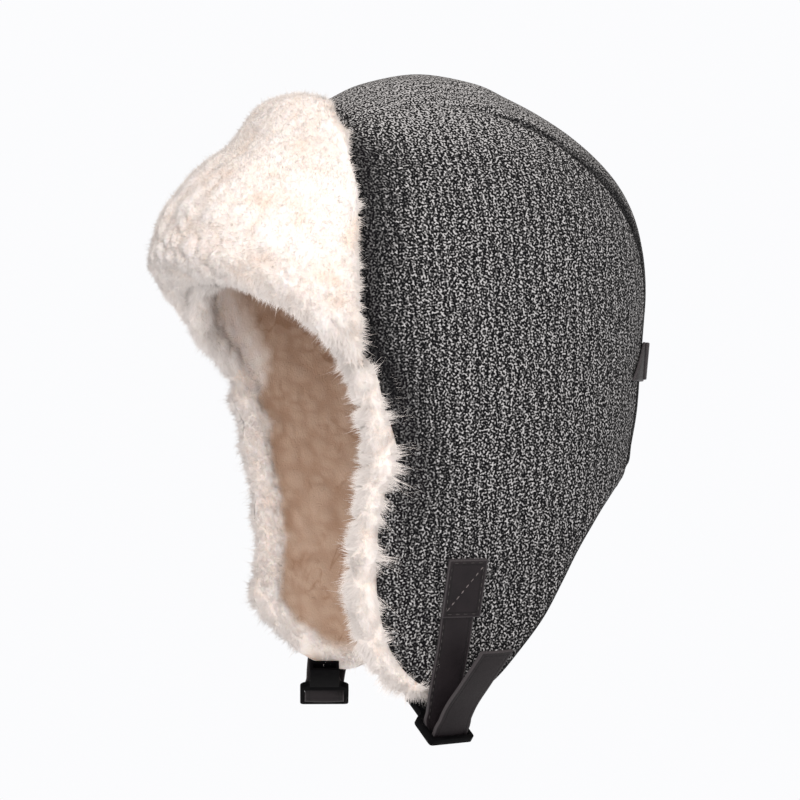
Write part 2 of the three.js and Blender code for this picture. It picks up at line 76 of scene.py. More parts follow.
# The hems seen from the side as (back, height), from the forehead round the earflap to the nape
KNIT_HEM = [
    (-122, 70), (-106, 64), (-92, 52), (-78, 38), (-66, 27), (-57, 19), (-52, 10), (-49, -3),
    (-45, -14), (-43, -24), (-46, -36), (-49, -50), (-50, -68), (-49, -86), (-46, -101),
    (-41, -114), (-33, -124), (-24, -130), (-12, -133.5), (1, -132), (10, -126), (21, -113.5),
    (32, -99.5), (41, -84.5), (50, -70), (59, -58.5), (68, -48.5), (80, -39), (92, -35.5), (124, -35),
]
PILE_HEM = [
    (-124, 58), (-110, 53), (-98, 43), (-86, 31), (-76, 22), (-68, 13), (-63, 3), (-60, -8),
    (-58.5, -20), (-58.5, -35), (-60.5, -47), (-62, -60), (-62.5, -75), (-62, -90), (-59, -103),
    (-54, -114), (-48, -123), (-40, -130.5), (-30, -135.5), (-20, -137.5), (-8, -137), (2, -133.5),
    (11, -126.5), (21.5, -112), (32.5, -98), (41.5, -83), (50.5, -68.5), (59.5, -57.5), (69, -48.5),
    (81, -40.5), (93, -37), (124, -36.5),
]

# Half the width of the crown's centre strip as (back, half)
STRIP = [
    (-130, 40), (-80, 44), (-20, 51), (15, 57), (50, 62.5), (72, 63), (86, 58.5), (100, 51), (130, 38),
]

BRIM = [
    dict(rise=0, thick=17, lean=0),
    dict(rise=0.14, thick=18.5, lean=0.4),
    dict(rise=0.29, thick=16, lean=0.8),
    dict(rise=0.43, thick=12.5, lean=1.2),
    dict(rise=0.57, thick=9, lean=1.6),
    dict(rise=0.71, thick=7.5, lean=2),
    dict(rise=0.86, thick=9, lean=2.4),
    dict(rise=1, thick=8.5, lean=2.8),
]
BRIM_FOLD = dict(front=54, end=13, angle=63)
BRIM_EDGE = dict(front=137, end=130, angle=46)
BRIM_BACKING = 1.6
# How much fuller than the solid the wool is, up the brim, as (rise, fuller)
BRIM_FLUFF = [
    (0, -1.6), (0.18, -1.2), (0.28, 0.4), (0.4, 1.2), (0.5, 2), (0.6, 1.8), (0.68, -0.6), (0.76, -2.4),
    (0.84, -0.6), (0.92, 3.6), (1, 4.8),
]
# How many degrees its end edges wave out, as (rise, out)
BRIM_WAVE = [
    (0, 0), (0.1, 0.2), (0.22, -0.3), (0.34, -0.2), (0.45, 0.1), (0.55, 0.9), (0.66, 0.8), (0.78, -0.3),
    (0.88, -0.1), (1, 0.4),
]
# Its thinnest edge, how far its fold rolls in behind and how far the fold droops on the right
BRIM_RIM = 3.0
BRIM_ROLL = 5.5
BRIM_DROOP = 0.045  # of the brim's height
# Where the knit behind the brim begins and ends, in parts of the brim's height
BACKING_LOW = 0.04
BACKING_HIGH = 0.975

# How much further forward the pile's hem bulges on the wearer's right, as (height, ahead)
RIGHT_HEM = [
    (-130, -5), (-118, -3), (-108, 4), (-98, 6), (-88, 1.5), (-70, -1.5), (-60, 1.5), (-50, 1), (-38, 7),
    (-25, 10.5), (-20, 11), (-12, 8), (0, 15), (8, 9), (20, 12.5), (30, 18.5), (44, 17), (60, 9), (75, 3),
]
TUCKED_HEM = 8  # how far it is tucked up behind the brim's fold on the wearer's left
# How far the pile swells outwards where the knit doesn't hold it, and the roll of its hem inwards
SWELL_LEFT = 2.8
SWELL_RIGHT = 0.8
HEM_ROLL = 1.7

# The wool's curls, the bigger clumps of them, and its strands in each half
LINING_WOOL = dict(curls=6500, clumps=1100, strands=58000)
BRIM_WOOL = dict(curls=1300, clumps=300, strands=46000)
# How a strand leaves its root, in parts of its length, and how many millimetres deep the root lies
STRAND = dict(up=0.55, swirl=0.22, loose=0.34, sag=0.15, rooted=0.5)
# A strand that stands out past an edge is lit from all round, so its shading leans this way.
LIT_FREELY = (2.1, -0.9, 1.1)

# Painted shade: the dark band down the knit behind the temple, as (height, back)
PAINTED_SHADE_BAND = [(-130, -34), (-40, -36), (7, -44.8), (26, -54.5), (40, -58), (140, -52)]

STRAP_WIDTH = 18.5
STRAP_THICK = 1.8
STRAP_LENGTH = 140
STRAP_DRAWN_IN = 2.6  # at its back edge, between the patch and the buckle
STRAP_AT_BAR = 1.8  # how much wider it is round the bar
RIGHT_STRAP_AHEAD = 3.5
PATCH = dict(length=26.5, thick=0.9)  # the second layer where the strap is sewn on
BAR = dict(side=81.4, back=-16.4, height=-149.5, radius=1.5, turn=18)
STRAP_SEWN = [(-9.1, -71), (-10.3, -84), (-11.4, -97)]  # back, height
STRAP_HANGING = [  # side, back, height, turn
    (84.9, -13, -111, 1), (82.9, -14.8, -124, 2), (81.3, -16.4, -135, 5), (79.4, -17.2, -143, 12),
]
STRAP_END = [
    (88.3, -12.2, -138.5, 18), (94, -7.4, -128, 19), (98.6, -3.4, -119.5, 19), (102, 0.4, -112, 19),
]

# The back tab's lower and upper edge, half as wide in degrees, and its two layers
TAB_LOW = dict(height=9, half=42)
TAB_HIGH = dict(height=27.5, half=30)
TAB_LAYERS = [
    dict(name="back_tab_under", straight=False, out=0.6, arch=0.6, thick=1.2),
    dict(name="back_tab_over", straight=True, out=2.0, arch=1.0, thick=1.3),
]

STITCH = dict(length=2.1, width=0.56, height=0.48, pitch=3.1)

# The photograph's camera, the floor and the lamps
CAMERA_ROUND = 70  # degrees from the front towards the wearer's left
CAMERA_AWAY = 1.3
CAMERA_LENS = 121.7
CAMERA_ASIDE = -8.2  # the middle of the picture is this far to the left of the hat's axis
CENTRE = Vector((0, 0, EAR_LINE * MM))
FLOOR = -0.55  # metres: the hat is held up as a head holds it, well clear of the studio's floor
SURROUND = (0.97, 0.972, 0.985, 1)
AMBIENT = (1, 0.925, 0.875, 1)
AMBIENT_STRENGTH = 0.64
LAMPS = [
    dict(name="key", azimuth=88, elevation=62, away=1.8, size=1.1, power=13.5, color=(1, 0.98, 0.96)),
    dict(name="fill", azimuth=62, elevation=8, away=2.2, size=2.2, power=33.5, color=(1, 0.95, 0.93)),
]


# The shell's form


def between(rows, at, name):
    """A smooth value between the rows of a table, at fractional row numbers."""
    value = np.array([row[name] for row in rows], float)
    before = value[0]
    if rows is RINGS:
        before = value[1] if name in ("height", "square") else -value[1]
    value = np.concatenate([[before], value, value[-1:]])
    at = np.asarray(at, float)
    low = np.clip(np.floor(at).astype(int), 0, len(rows) - 2)
    return spline(at - low, *(value[low + k] for k in range(4)))


def spline(f, p0, p1, p2, p3):
    """A smooth value a fraction of the way from p1 to p2, with a neighbour on each side."""
    return p1 + 0.5 * f * (p2 - p0 + f * (2 * p0 - 5 * p1 + 4 * p2 - p3 + f * (3 * (p1 - p2) + p3 - p0)))


def length_along(line):
    """How far along a line each of its points lies."""
    return np.concatenate([[0], np.cumsum(np.linalg.norm(np.diff(line, axis=0), axis=1))])


def unit(vectors):
    return vectors / np.maximum(np.linalg.norm(vectors, axis=-1, keepdims=True), 1e-9)


ROW_STEPS = np.linspace(0, len(RINGS) - 1, 3000)
ROW_HEIGHTS = between(RINGS, ROW_STEPS, "height")


def row_at_height(height):
    """The fractional row of the rings at a height."""
    return np.interp(-np.asarray(height, float), -ROW_HEIGHTS, ROW_STEPS)


def ring_reach(row, ahead):
    """How far a ring reaches from the axis, to the front where ahead is true and else to the back."""
    return np.where(ahead, between(RINGS, row, "front"), between(RINGS, row, "back"))


def shell_point(row, angle):
    """Points of the shell's outside, in millimetres, with the height still from the ear line."""
    row, angle = np.broadcast_arrays(np.asarray(row, float), np.asarray(angle, float))
    power = 2 / between(RINGS, row, "square")
    s, c = np.sin(angle), np.cos(angle)
    side = between(RINGS, row, "side") * np.sign(s) * np.abs(s) ** power
    back = -ring_reach(row, c > 0) * np.sign(c) * np.abs(c) ** power
    return np.stack([side, back, between(RINGS, row, "height")], axis=-1)


def shell_normal(row, angle):
    """The way out of the shell, from small steps down and round it."""
    step = 0.02
    row = np.maximum(row, 3 * step)
    down = shell_point(row + step, angle) - shell_point(row - step, angle)
    round_ = shell_point(row, angle + step) - shell_point(row, angle - step)
    return unit(np.cross(down, round_))


def shell_offset(row, angle, out):
    return shell_point(row, angle) + shell_normal(row, angle) * np.asarray(out)[..., None]


def shell_place(back, height):
    """The row and angle on the wearer's left at a height, a distance back from the axis."""
    row = row_at_height(height)
    reach = ring_reach(row, np.asarray(back) < 0)
    c = np.minimum(np.abs(back) / reach, 1) ** (between(RINGS, row, "square") / 2)
    return row, np.arccos(-np.sign(back) * c)


def smooth_line(points, steps=8):
    """A smooth line through the points of a table, like the part's spline."""
    p = np.array(points, float)
    p = np.concatenate([p[:1], p, p[-1:]])
    f = (np.arange(steps) / steps)[:, None]
    parts = [spline(f, *p[k : k + 4]) for k in range(len(points) - 1)]
    return np.concatenate(parts + [p[-1:]])


def above_line(line, back, height):
    """How far points of the side view lie above a hem; negative below it."""
    a, b = line[:-1], line[1:]
    along = b - a
    p = np.stack([back, height], axis=-1)
    best = np.full(p.shape[:-1], np.inf)
    for start, step in zip(a, along):
        t = np.clip(((p - start) @ step) / (step @ step), 0, 1)
        best = np.minimum(best, np.linalg.norm(p - start - t[..., None] * step, axis=-1))
    inside = np.zeros(best.shape, bool)
    corner = np.array([[400, line[-1, 1]], [400, 400], [-400, 400], [-400, line[0, 1]]])
    loop = np.concatenate([line, corner, line[:1]])
    for (x0, y0), (x1, y1) in zip(loop[:-1], loop[1:]):
        if y0 == y1:
            continue
        crosses = (height < y0) != (height < y1)
        inside ^= crosses & (back < (x1 - x0) * (height - y0) / (y1 - y0) + x0)
    return np.where(inside, best, -best)


KNIT_LINE = smooth_line(KNIT_HEM)
PILE_LINE = smooth_line(PILE_HEM)
STRIP_LINE = smooth_line(STRIP)


def strip_half(back):
    """Half the crown strip's width at a distance back from the axis."""
    return np.interp(back, STRIP_LINE[:, 0], STRIP_LINE[:, 1])


def from_table(table, at):
    """A value from a table of pairs, on straight lines between its rows."""
    places, values = zip(*table)
    return np.interp(at, places, values)


def smoothstep(low, high, value):
    t = np.clip((value - low) / (high - low), 0, 1)
    return t * t * (3 - 2 * t)


def bell(value, width):
    """1 where the value is 0, fading out to both sides."""
    return np.exp(-((value / width) ** 2))


# Meshes and objects


def add_object(name, data):
    obj = bpy.data.objects.new(name, data)
    bpy.context.collection.objects.link(obj)
    return obj


def finish_piece(name, bm, material, uv_name=None):
    """An object at the origin from a bmesh in metres, riding on the hat."""
    mesh = bpy.data.meshes.new(name)
    bm.to_mesh(mesh)
    bm.free()
    mesh.polygons.foreach_set("use_smooth", [True] * len(mesh.polygons))
    if uv_name:
        mesh.uv_layers[0].name = uv_name
    mesh.materials.append(material)
    obj = add_object(name, mesh)
    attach(obj, "root")
    return obj


def coordinates(bm):
    return np.array([v.co for v in bm.verts]).reshape(-1, 3)


def set_coordinates(bm, points_mm):
    """Moves the bmesh's corners to points in millimetres whose height is from the ear line."""
    for v, p in zip(bm.verts, points_mm):
        v.co = (p[0] * MM, p[1] * MM, (p[2] + EAR_LINE) * MM)


def grid(columns, rows):
    """A flat grid whose corners run from 0 to 1 both ways, and their places."""
    bm = bmesh.new()
    bmesh.ops.create_grid(bm, x_segments=columns, y_segments=rows, size=0.5, calc_uvs=True)
    bmesh.ops.translate(bm, vec=(0.5, 0.5, 0), verts=bm.verts)
    place = coordinates(bm)
    return bm, place[:, 0], place[:, 1]


def write_uv(bm, u, v):
    layer = bm.loops.layers.uv.verify()
    bm.verts.index_update()
    for face in bm.faces:
        for loop in face.loops:
            loop[layer].uv = (u[loop.vert.index], v[loop.vert.index])


def write_value(bm, name, value):
    layer = bm.verts.layers.float.get(name) or bm.verts.layers.float.new(name)
    for v, x in zip(bm.verts, value):
        v[layer] = float(x)


def read_value(bm, name):
    layer = bm.verts.layers.float[name]
    return np.array([v[layer] for v in bm.verts])


def cut_to_line(bm, row, angle, clear):
    """Keeps the faces where clear(row, angle) is positive, and draws their rim onto its zero line."""
    write_value(bm, "row", row)
    write_value(bm, "angle", angle)
    bm.verts.index_update()
    middle_row = np.array([[row[v.index] for v in f.verts] for f in bm.faces]).mean(axis=1)
    middle_angle = np.array([[angle[v.index] for v in f.verts] for f in bm.faces]).mean(axis=1)
    keep = clear(middle_row, middle_angle) > 0
    gone = [f for f, k in zip(bm.faces, keep) if not k]
    bmesh.ops.delete(bm, geom=gone, context="FACES")
    # Deleting reorders the corners, so their places are read back from the layers.
    row, angle = read_value(bm, "row"), read_value(bm, "angle")
    # A corner that hangs on by one face would be a spike in the rim.
    rim = np.array([v.is_boundary for v in bm.verts])
    r, a = row[rim], angle[rim]
    per_row, per_radian = 17.0, 100.0
    for _ in range(6):
        value = clear(r, a)
        slope_r = (clear(r + 0.02, a) - clear(r - 0.02, a)) / (0.04 * per_row)
        slope_a = (clear(r, a + 0.004) - clear(r, a - 0.004)) / (0.008 * per_radian)
        steep = np.maximum(slope_r**2 + slope_a**2, 0.25)
        r = r - np.clip(value * slope_r / steep, -2, 2) / per_row
        a = a - np.clip(value * slope_a / steep, -2, 2) / per_radian
    row[rim], angle[rim] = r, a
    write_value(bm, "row", row)
    write_value(bm, "angle", angle)
    return row, angle


def doubled(bm):
    """Adds a turned-over copy of a sheet, whose corners have 1 in the layer named copy."""
    layer = bm.verts.layers.float.new("copy")
    made = bmesh.ops.duplicate(bm, geom=list(bm.verts) + list(bm.edges) + list(bm.faces))["geom"]
    for part in made:
        if isinstance(part, bmesh.types.BMVert):
            part[layer] = 1
    bmesh.ops.reverse_faces(bm, faces=[part for part in made if isinstance(part, bmesh.types.BMFace)])
    return read_value(bm, "copy") > 0.5


def unit_normals(bm):
    bm.normal_update()
    return np.array([v.normal for v in bm.verts])


def face_way(bm, way):
    """Turns the faces of a sheet so that as a whole they look a way."""
    bmesh.ops.recalc_face_normals(bm, faces=bm.faces)
    if sum(f.normal.dot(Vector(way)) * f.calc_area() for f in bm.faces) < 0:
        bmesh.ops.reverse_faces(bm, faces=bm.faces)


# Materials


class Nodes:
    """A material's node tree, with short calls that add a node and return its output."""

    def __init__(self, name):
        self.material = bpy.data.materials.new(name)
        self.material.use_nodes = True
        self.tree = self.material.node_tree
        self.shader = self.tree.nodes["Principled BSDF"]

    def add(self, kind, inputs=None, output=0, **settings):
        node = self.tree.nodes.new(kind)
        for key, value in settings.items():
            setattr(node, key, value)
        for key, value in (inputs or {}).items():
            if isinstance(value, bpy.types.NodeSocket):
                self.tree.links.new(value, node.inputs[key])
            else:
                node.inputs[key].default_value = value
        return node.outputs[output]

    def math(self, operation, a, b=0.0, clamp=False):
        return self.add("ShaderNodeMath", {0: a, 1: b}, operation=operation, use_clamp=clamp)

    def multiply_add(self, a, b, c):
        return self.add("ShaderNodeMath", {0: a, 1: b, 2: c}, operation="MULTIPLY_ADD")

    def mix(self, factor, a, b):
        node = self.tree.nodes.new("ShaderNodeMix")
        node.data_type = "RGBA"
        for key, value in ((0, factor), (6, a), (7, b)):
            if isinstance(value, bpy.types.NodeSocket):
                self.tree.links.new(value, node.inputs[key])
            else:
                node.inputs[key].default_value = value
        return node.outputs[2]

    def ramp(self, value, *stops):
        node = self.tree.nodes.new("ShaderNodeValToRGB")
        self.tree.links.new(value, node.inputs[0])
        elements = node.color_ramp.elements
        while len(elements) < len(stops):
            elements.new(0.5)
        for element, (position, color) in zip(elements, stops):
            element.position = position
            element.color = color if len(color) == 4 else (*color, 1)
        return node.outputs[0]

    def noise(self, vector, scale, detail=0.0, distortion=0.0, roughness=0.5):
        inputs = {"Vector": vector, "Scale": scale, "Detail": detail}
        inputs.update({"Distortion": distortion, "Roughness": roughness})
        return self.add("ShaderNodeTexNoise", inputs)

    def moved(self, vector, by):
        return self.add("ShaderNodeVectorMath", {0: vector, 1: by}, operation="ADD")

    def bump(self, height, strength, distance):
        self.tree.links.new(
            self.add("ShaderNodeBump", {"Height": height, "Strength": strength, "Distance": distance}),
            self.shader.inputs["Normal"],
        )

    def color(self, output):
        self.tree.links.new(output, self.shader.inputs["Base Color"])

    def place(self):
        return self.add("ShaderNodeTexCoord", output=3)

    def value(self, name):
        """A value that the mesh stores at its corners."""
        return self.add("ShaderNodeAttribute", attribute_name=name, output=2)

    def fade(self, value, low, high, **settings):
        """0 at low and 1 at high, which may be the smaller one."""
        return self.add("ShaderNodeMapRange", {0: value, 1: low, 2: high}, **settings)

    def surface(self, **inputs):
        """Sets the shader's inputs, with an underscore for each space in a name."""
        for name, value in inputs.items():
            self.shader.inputs[name.replace("_", " ")].default_value = value


def knit_material():
    """Tweed knit: pale yarn that squirms over a near-black ground, in faint upright wales."""
    n = Nodes("tweed_knit")
    uv = n.add("ShaderNodeUVMap", uv_map="knit")

    def squirm(turn, by):
        turned = n.add("ShaderNodeMapping", {"Vector": uv, "Location": by, "Rotation": (0, 0, turn)})
        return n.noise(turned, 1040)

    field = n.math("ADD", squirm(0.6, (3, 1, 0)), squirm(1.37, (7, 5, 0)))
    banding = {"Vector": n.moved(uv, (0.4, 0, 0)), "Scale": 63, "Distortion": 7, "Detail": 3}
    banding["Detail Scale"] = 1.2
    wales = n.add("ShaderNodeTexWave", banding, output=1, wave_type="BANDS", bands_direction="X")
    patch = n.noise(n.moved(uv, (2, 7, 0)), 120, detail=3)
    # Where a wale or a patch lies deeper, less of the pale yarn comes up.
    sunk = n.math("ADD", n.math("MULTIPLY", wales, 0.13), n.math("MULTIPLY", patch, 0.12))
    level = n.math("ADD", field, sunk)
    yarn = n.fade(level, 0.96, 1.42, interpolation_type="SMOOTHSTEP")
    tone = n.noise(n.moved(uv, (9, 4, 0)), 560)
    lit = n.math("MULTIPLY", yarn, n.math("ADD", n.math("MULTIPLY", tone, 1.0), 0.5))
    # The shade value paints light and shade on the yarn: darker seams and hem, painted shade down the
    # temple, a painted highlight on the crown's top.
    shade = n.value("shade")
    lit = n.math("MULTIPLY", lit, shade, clamp=True)
    black, ground = (0.0, (0.003, 0.003, 0.004)), (0.3, (0.039, 0.039, 0.040))
    grey, pale = (0.62, (0.127, 0.127, 0.129)), (1.0, (0.45, 0.45, 0.455))
    n.color(n.ramp(lit, black, ground, grey, pale))
    n.bump(yarn, 0.8, 0.0006)
    n.surface(Roughness=0.95, Specular_IOR_Level=0.1)
    return n.material


def color_wool(n, height, inside, pale, tan):
    """Matt wool, pale outside and tan inside, each in three tones from its valleys to its tops; the tan
    inside the hollow and the darker valleys are painted shade.
    """
    pale = n.ramp(height, *zip((0.0, 0.4, 1.0), pale))
    tan = n.ramp(height, *zip((0.0, 0.45, 1.0), tan))
    n.color(n.mix(inside, pale, tan))
    n.surface(Roughness=1.0, Specular_IOR_Level=0.1, Sheen_Weight=0.2)


def pile_material():
    """Cream wool, pale on top, with painted shade: warmer and darker in the valleys between its curls and in
    thin creases, and tan in the hollow.
    """
    n = Nodes("cream_pile")
    depth = n.value("depth")
    place = n.place()
    patch = n.noise(place, 60, detail=2)
    fine = n.noise(place, 700, detail=3, distortion=1.2)
    # Painted shade in thin broken creases, where the pile parts.
    winding = n.math("ABSOLUTE", n.math("SUBTRACT", n.noise(place, 62, detail=3, distortion=0.6), 0.5))
    broken = n.fade(n.noise(n.moved(place, (3, 1, 2)), 45), 0.42, 0.58)
    crease = n.math("MULTIPLY", n.fade(winding, 0.04, 0.0), broken)
    height = n.math("ADD", depth, n.math("MULTIPLY", n.math("SUBTRACT", patch, 0.5), 0.4))
    inside = n.value("inside")
    marked = n.multiply_add(inside, 0.25, 0.08)
    height = n.math("SUBTRACT", height, n.math("MULTIPLY", crease, marked), clamp=True)
    pale = (0.82, 0.66, 0.55), (0.905, 0.82, 0.76), (0.945, 0.90, 0.875)
    tan = (0.39, 0.245, 0.165), (0.525, 0.375, 0.28), (0.595, 0.445, 0.35)
    color_wool(n, height, inside, pale, tan)
    n.bump(fine, 0.4, 0.0010)
    n.surface(Sheen_Roughness=0.5, Subsurface_Weight=0.25, Subsurface_Scale=1.0)
    n.surface(Subsurface_Radius=(0.005, 0.0032, 0.0022))
    return n.material


def wool_material():
    """The wool's single strands, in the pile's colours, with their painted light and shade."""
    n = Nodes("wool_strands")
    tone = n.value("tone")
    pale = (0.82, 0.67, 0.57), (0.90, 0.82, 0.765), (0.945, 0.895, 0.865)
    tan = (0.45, 0.30, 0.215), (0.535, 0.385, 0.29), (0.61, 0.465, 0.37)
    color_wool(n, tone, n.value("inside"), pale, tan)
    return n.material


def leather_material():
    """Smooth dark leather with fine pores and turned edges, a painted highlight along each edge and painted
    shade in the groove inside it.
    """
    n = Nodes("dark_leather")
    place = n.place()
    cells = n.add("ShaderNodeTexVoronoi", {"Vector": place, "Scale": 1300}, feature="DISTANCE_TO_EDGE")
    pores = n.math("MINIMUM", n.math("MULTIPLY", cells, 6), 1.0)
    smear = n.noise(place, 90, detail=3)
    # The edges are turned: a pale line at the edge is a painted highlight, and the groove just inside it is
    # sunk and darkened with painted shade.
    distances = n.add("ShaderNodeUVMap", uv_map="edge")
    from_side = n.add("ShaderNodeSeparateXYZ", {0: distances}, output=0)
    from_end = n.add("ShaderNodeSeparateXYZ", {0: distances}, output=1)
    from_edge = n.math("MINIMUM", from_side, from_end)
    painted_light = n.fade(from_edge, 0.0008, 0.0002)
    inner = n.math("ABSOLUTE", n.math("SUBTRACT", from_edge, 0.0022))
    groove = n.fade(inner, 0.0006, 0.0)
    plain = n.ramp(smear, (0.3, (0.008, 0.006, 0.0075)), (0.7, (0.014, 0.0105, 0.0125)))
    groove_shaded = n.mix(n.math("MULTIPLY", groove, 0.7), plain, (0.003, 0.0025, 0.003, 1))
    n.color(n.mix(n.math("MULTIPLY", painted_light, 0.6), groove_shaded, (0.075, 0.068, 0.072, 1)))
    grain = n.math("ADD", n.math("MULTIPLY", pores, 0.5), n.noise(place, 260, detail=2))
    n.bump(n.math("SUBTRACT", grain, groove), 0.35, 0.0003)
    n.tree.links.new(n.multiply_add(smear, 0.25, 0.36), n.shader.inputs["Roughness"])
    n.surface(Specular_IOR_Level=0.2)
    return n.material


def plastic_material():
    """Black moulded plastic with a fine matt grain."""
    n = Nodes("black_plastic")
    place = n.place()
    cloudy = n.noise(place, 400, detail=2)
    n.color(n.ramp(cloudy, (0.3, (0.0015, 0.0015, 0.002)), (0.7, (0.003, 0.003, 0.0035))))
    n.bump(n.noise(place, 2200, detail=1), 0.25, 0.0001)
    n.surface(Roughness=0.5, Specular_IOR_Level=0.03)
    return n.material


def thread_material(name, light):
    """Sewing thread, slightly red, with darker stretches."""
    n = Nodes(name)
    place = n.place()
    dark, pale = (light * 0.5, light * 0.43, light * 0.43), (light, light * 0.86, light * 0.86)
    n.color(n.ramp(n.noise(place, 900), (0.3, dark), (0.7, pale)))
    n.surface(Roughness=0.7)
    return n.material


KNIT = knit_material()
PILE = pile_material()
WOOL = wool_material()
LEATHER = leather_material()
PLASTIC = plastic_material()
THREAD = thread_material("sewing_thread", 0.16)
DARK_THREAD = thread_material("dark_thread", 0.03)


# The knit shell


def seam_depth(back):
    """The crown's seam lies flat in front and is drawn in deeper towards the back."""
    return 0.25 + 0.75 * smoothstep(-15, 30, back)


def knit_relief(back, height, hem, seam, drawn_in=1.0):
    """How far the knit stands off the plain shell: rolled edges, the temple's crease, soft dents."""
    roll = -1.5 * bell(hem, 2.2) + 0.5 * bell(hem - 6, 4)
    sewn = drawn_in * (-0.9 * bell(seam, 1.3) + 0.3 * bell(seam - 4.5, 2.5))
    # The crease runs down and back from the temple, with the knit bulging in front of it.
    start, end = np.array([-57.0, 42.0]), np.array([-43.0, 6.0])
    along = (end - start) / np.linalg.norm(end - start)
    p = np.stack([back, height], axis=-1) - start
    t = p @ along
    across = p @ np.array([-along[1], along[0]])
    length = np.linalg.norm(end - start)
    reach = np.exp(-((np.clip(t - length, 0, None) + np.clip(-t, 0, None)) ** 2) / 120)
    bulge = 1.6 * bell(across + 5, 3.5) * smoothstep(0, 6, hem)
    crease = reach * (bulge - 2.6 * bell(across, 2.2))
    soft = 0.5 * np.sin(back / 19 + height / 33) * np.sin(height / 27 + 1)
    return roll + sewn + crease + soft


def knit_seams_and_painted_light(back, height, hem, seam):
    """How bright the yarn lies: darker in the seams and along the hem, partly their own dark yarn and partly
    painted shade; painted shade in a band and in the crease down the temple; a painted highlight on the
    crown's top; a little darker towards the bottom.
    """
    # The seams and the hem: partly dark yarn, partly painted shade.
    shade = 1 - 0.75 * bell(seam, 0.9) * smoothstep(-10, 30, back)
    shade *= 1 - 0.5 * bell(seam - 2.6, 0.8) * smoothstep(-10, 35, back)
    shade *= 1 - 0.5 * bell(hem, 1.6)
    # Painted highlight on the crown's top.
    shade *= 1 + 1.0 * smoothstep(105, 150, height)
    # Painted shade in a band down the knit behind the temple.
    line = from_table(PAINTED_SHADE_BAND, height)
    fade = smoothstep(150, 110, height) * smoothstep(-110, 10, height)
    shade *= 1 - 0.38 * bell(back - line, 7) * fade
    wide_fade = smoothstep(140, 110, height) * smoothstep(-80, -20, height)
    shade *= 1 - 0.24 * bell(back - line - 9, 13) * wide_fade
    # A little darker towards the bottom.
    shade *= 1 - 0.08 * smoothstep(-40, -80, height)
    # Painted shade in the temple's crease.
    deep_shade = smoothstep(48, 36, height) * smoothstep(-6, 8, height)
    shade *= 1 - 0.8 * bell(back - line, 2.4) * deep_shade
    return shade


def arc_from_side(row, angle):
    """Arc length along a ring from the middle of the side, positive towards the back."""
    steps = np.linspace(0.02, math.pi - 0.02, 240)
    rows = np.arange(0, len(RINGS) - 0.5, 0.5)
    table = shell_point(rows[:, None], steps[None, :])
    length = np.linalg.norm(np.diff(table, axis=1), axis=2)
    arc = np.concatenate([np.zeros((len(rows), 1)), np.cumsum(length, axis=1)], axis=1)
    arc -= arc[:, [np.argmin(np.abs(steps - math.pi / 2))]]
    place_r = np.clip(row * 2, 0, len(rows) - 1.001)
    place_a = np.clip((np.abs(angle) - steps[0]) / (steps[1] - steps[0]), 0, len(steps) - 1.001)
    i, j = place_r.astype(int), place_a.astype(int)
    fi, fj = place_r - i, place_a - j
    low = arc[i, j] * (1 - fj) + arc[i, j + 1] * fj
    high = arc[i + 1, j] * (1 - fj) + arc[i + 1, j + 1] * fj
    return low * (1 - fi) + high * fi


def arc_down_side(row):
    """Arc length down the middle of the side, from the top of the crown."""
    rows = np.linspace(0, len(RINGS) - 1, 400)
    return np.interp(row, rows, length_along(shell_point(rows, np.full(400, math.pi / 2))))


def as_cloth(obj):
    """Gives a knit sheet its wall, and returns its area and its extents."""
    wall = obj.modifiers.new("wall", "SOLIDIFY")
    wall.thickness = KNIT_WALL * MM
    wall.offset = -1
    area = sum(p.area for p in obj.data.polygons)
    low = np.min([v.co for v in obj.data.vertices], axis=0)
    high = np.max([v.co for v in obj.data.vertices], axis=0)
    return area, high - low


def side_panel(name, sign):
    """A side of the shell, in one piece with its earflap."""
    bm, u, v = grid(150, 150)
    # The grid covers a little more than the side, and is cut to its hem and its seam.
    margin, first = 0.30, 1.6
    angle = margin + u * (math.pi - 2 * margin)
    row = first + (1 - v) * (len(RINGS) - 1 - first)

    def clear(r, a):
        p = shell_point(r, a)
        hem = above_line(KNIT_LINE, p[..., 1], p[..., 2])
        seam = p[..., 0] - strip_half(p[..., 1]) - SEAM_GAP / 2
        return np.minimum(hem, seam)

    row, angle = cut_to_line(bm, row, angle, clear)
    flat = shell_point(row, angle)
    hem = above_line(KNIT_LINE, flat[:, 1], flat[:, 2])
    seam = flat[:, 0] - strip_half(flat[:, 1])
    # Round the crown the seam is nearer than its distance across.
    normal = shell_normal(row, angle)
    seam = seam / np.maximum(np.abs(normal[:, 2]), 0.35)
    relief = knit_relief(flat[:, 1], flat[:, 2], hem, seam, seam_depth(flat[:, 1]))
    points = flat + normal * relief[:, None]
    points[:, 0] *= sign
    set_coordinates(bm, points)
    write_value(bm, "shade", knit_seams_and_painted_light(flat[:, 1], flat[:, 2], hem, seam))
    write_uv(bm, arc_from_side(row, angle) * MM + sign, -arc_down_side(row) * MM)
    face_way(bm, (sign, 0, 0))
    return finish_piece(name, bm, KNIT, "knit")


def crown_profile(steps=600):
    """The crown's outline in its middle, from the forehead's hem over the top to the nape's."""
    front = row_at_height(np.interp(-110, KNIT_LINE[:, 0], KNIT_LINE[:, 1]))
    back = row_at_height(-35.3)
    rows = np.concatenate([np.linspace(front, 0, steps), np.linspace(0, back, steps)[1:]])
    angle = np.concatenate([np.zeros(steps), np.full(steps - 1, math.pi)])
    return shell_point(rows, angle)[:, 1:]


def outside_shell(point):
    """Negative inside the shell's outside surface and positive outside it."""
    row = row_at_height(np.minimum(point[..., 2], RINGS[0]["height"] - 0.01))
    power = between(RINGS, row, "square")
    side = np.maximum(between(RINGS, row, "side"), 1e-3)
    reach = np.maximum(ring_reach(row, point[..., 1] < 0), 1e-3)
    value = (np.abs(point[..., 0]) / side) ** power + (np.abs(point[..., 1]) / reach) ** power
    return np.where(point[..., 2] >= RINGS[0]["height"], 1.0, value - 1)


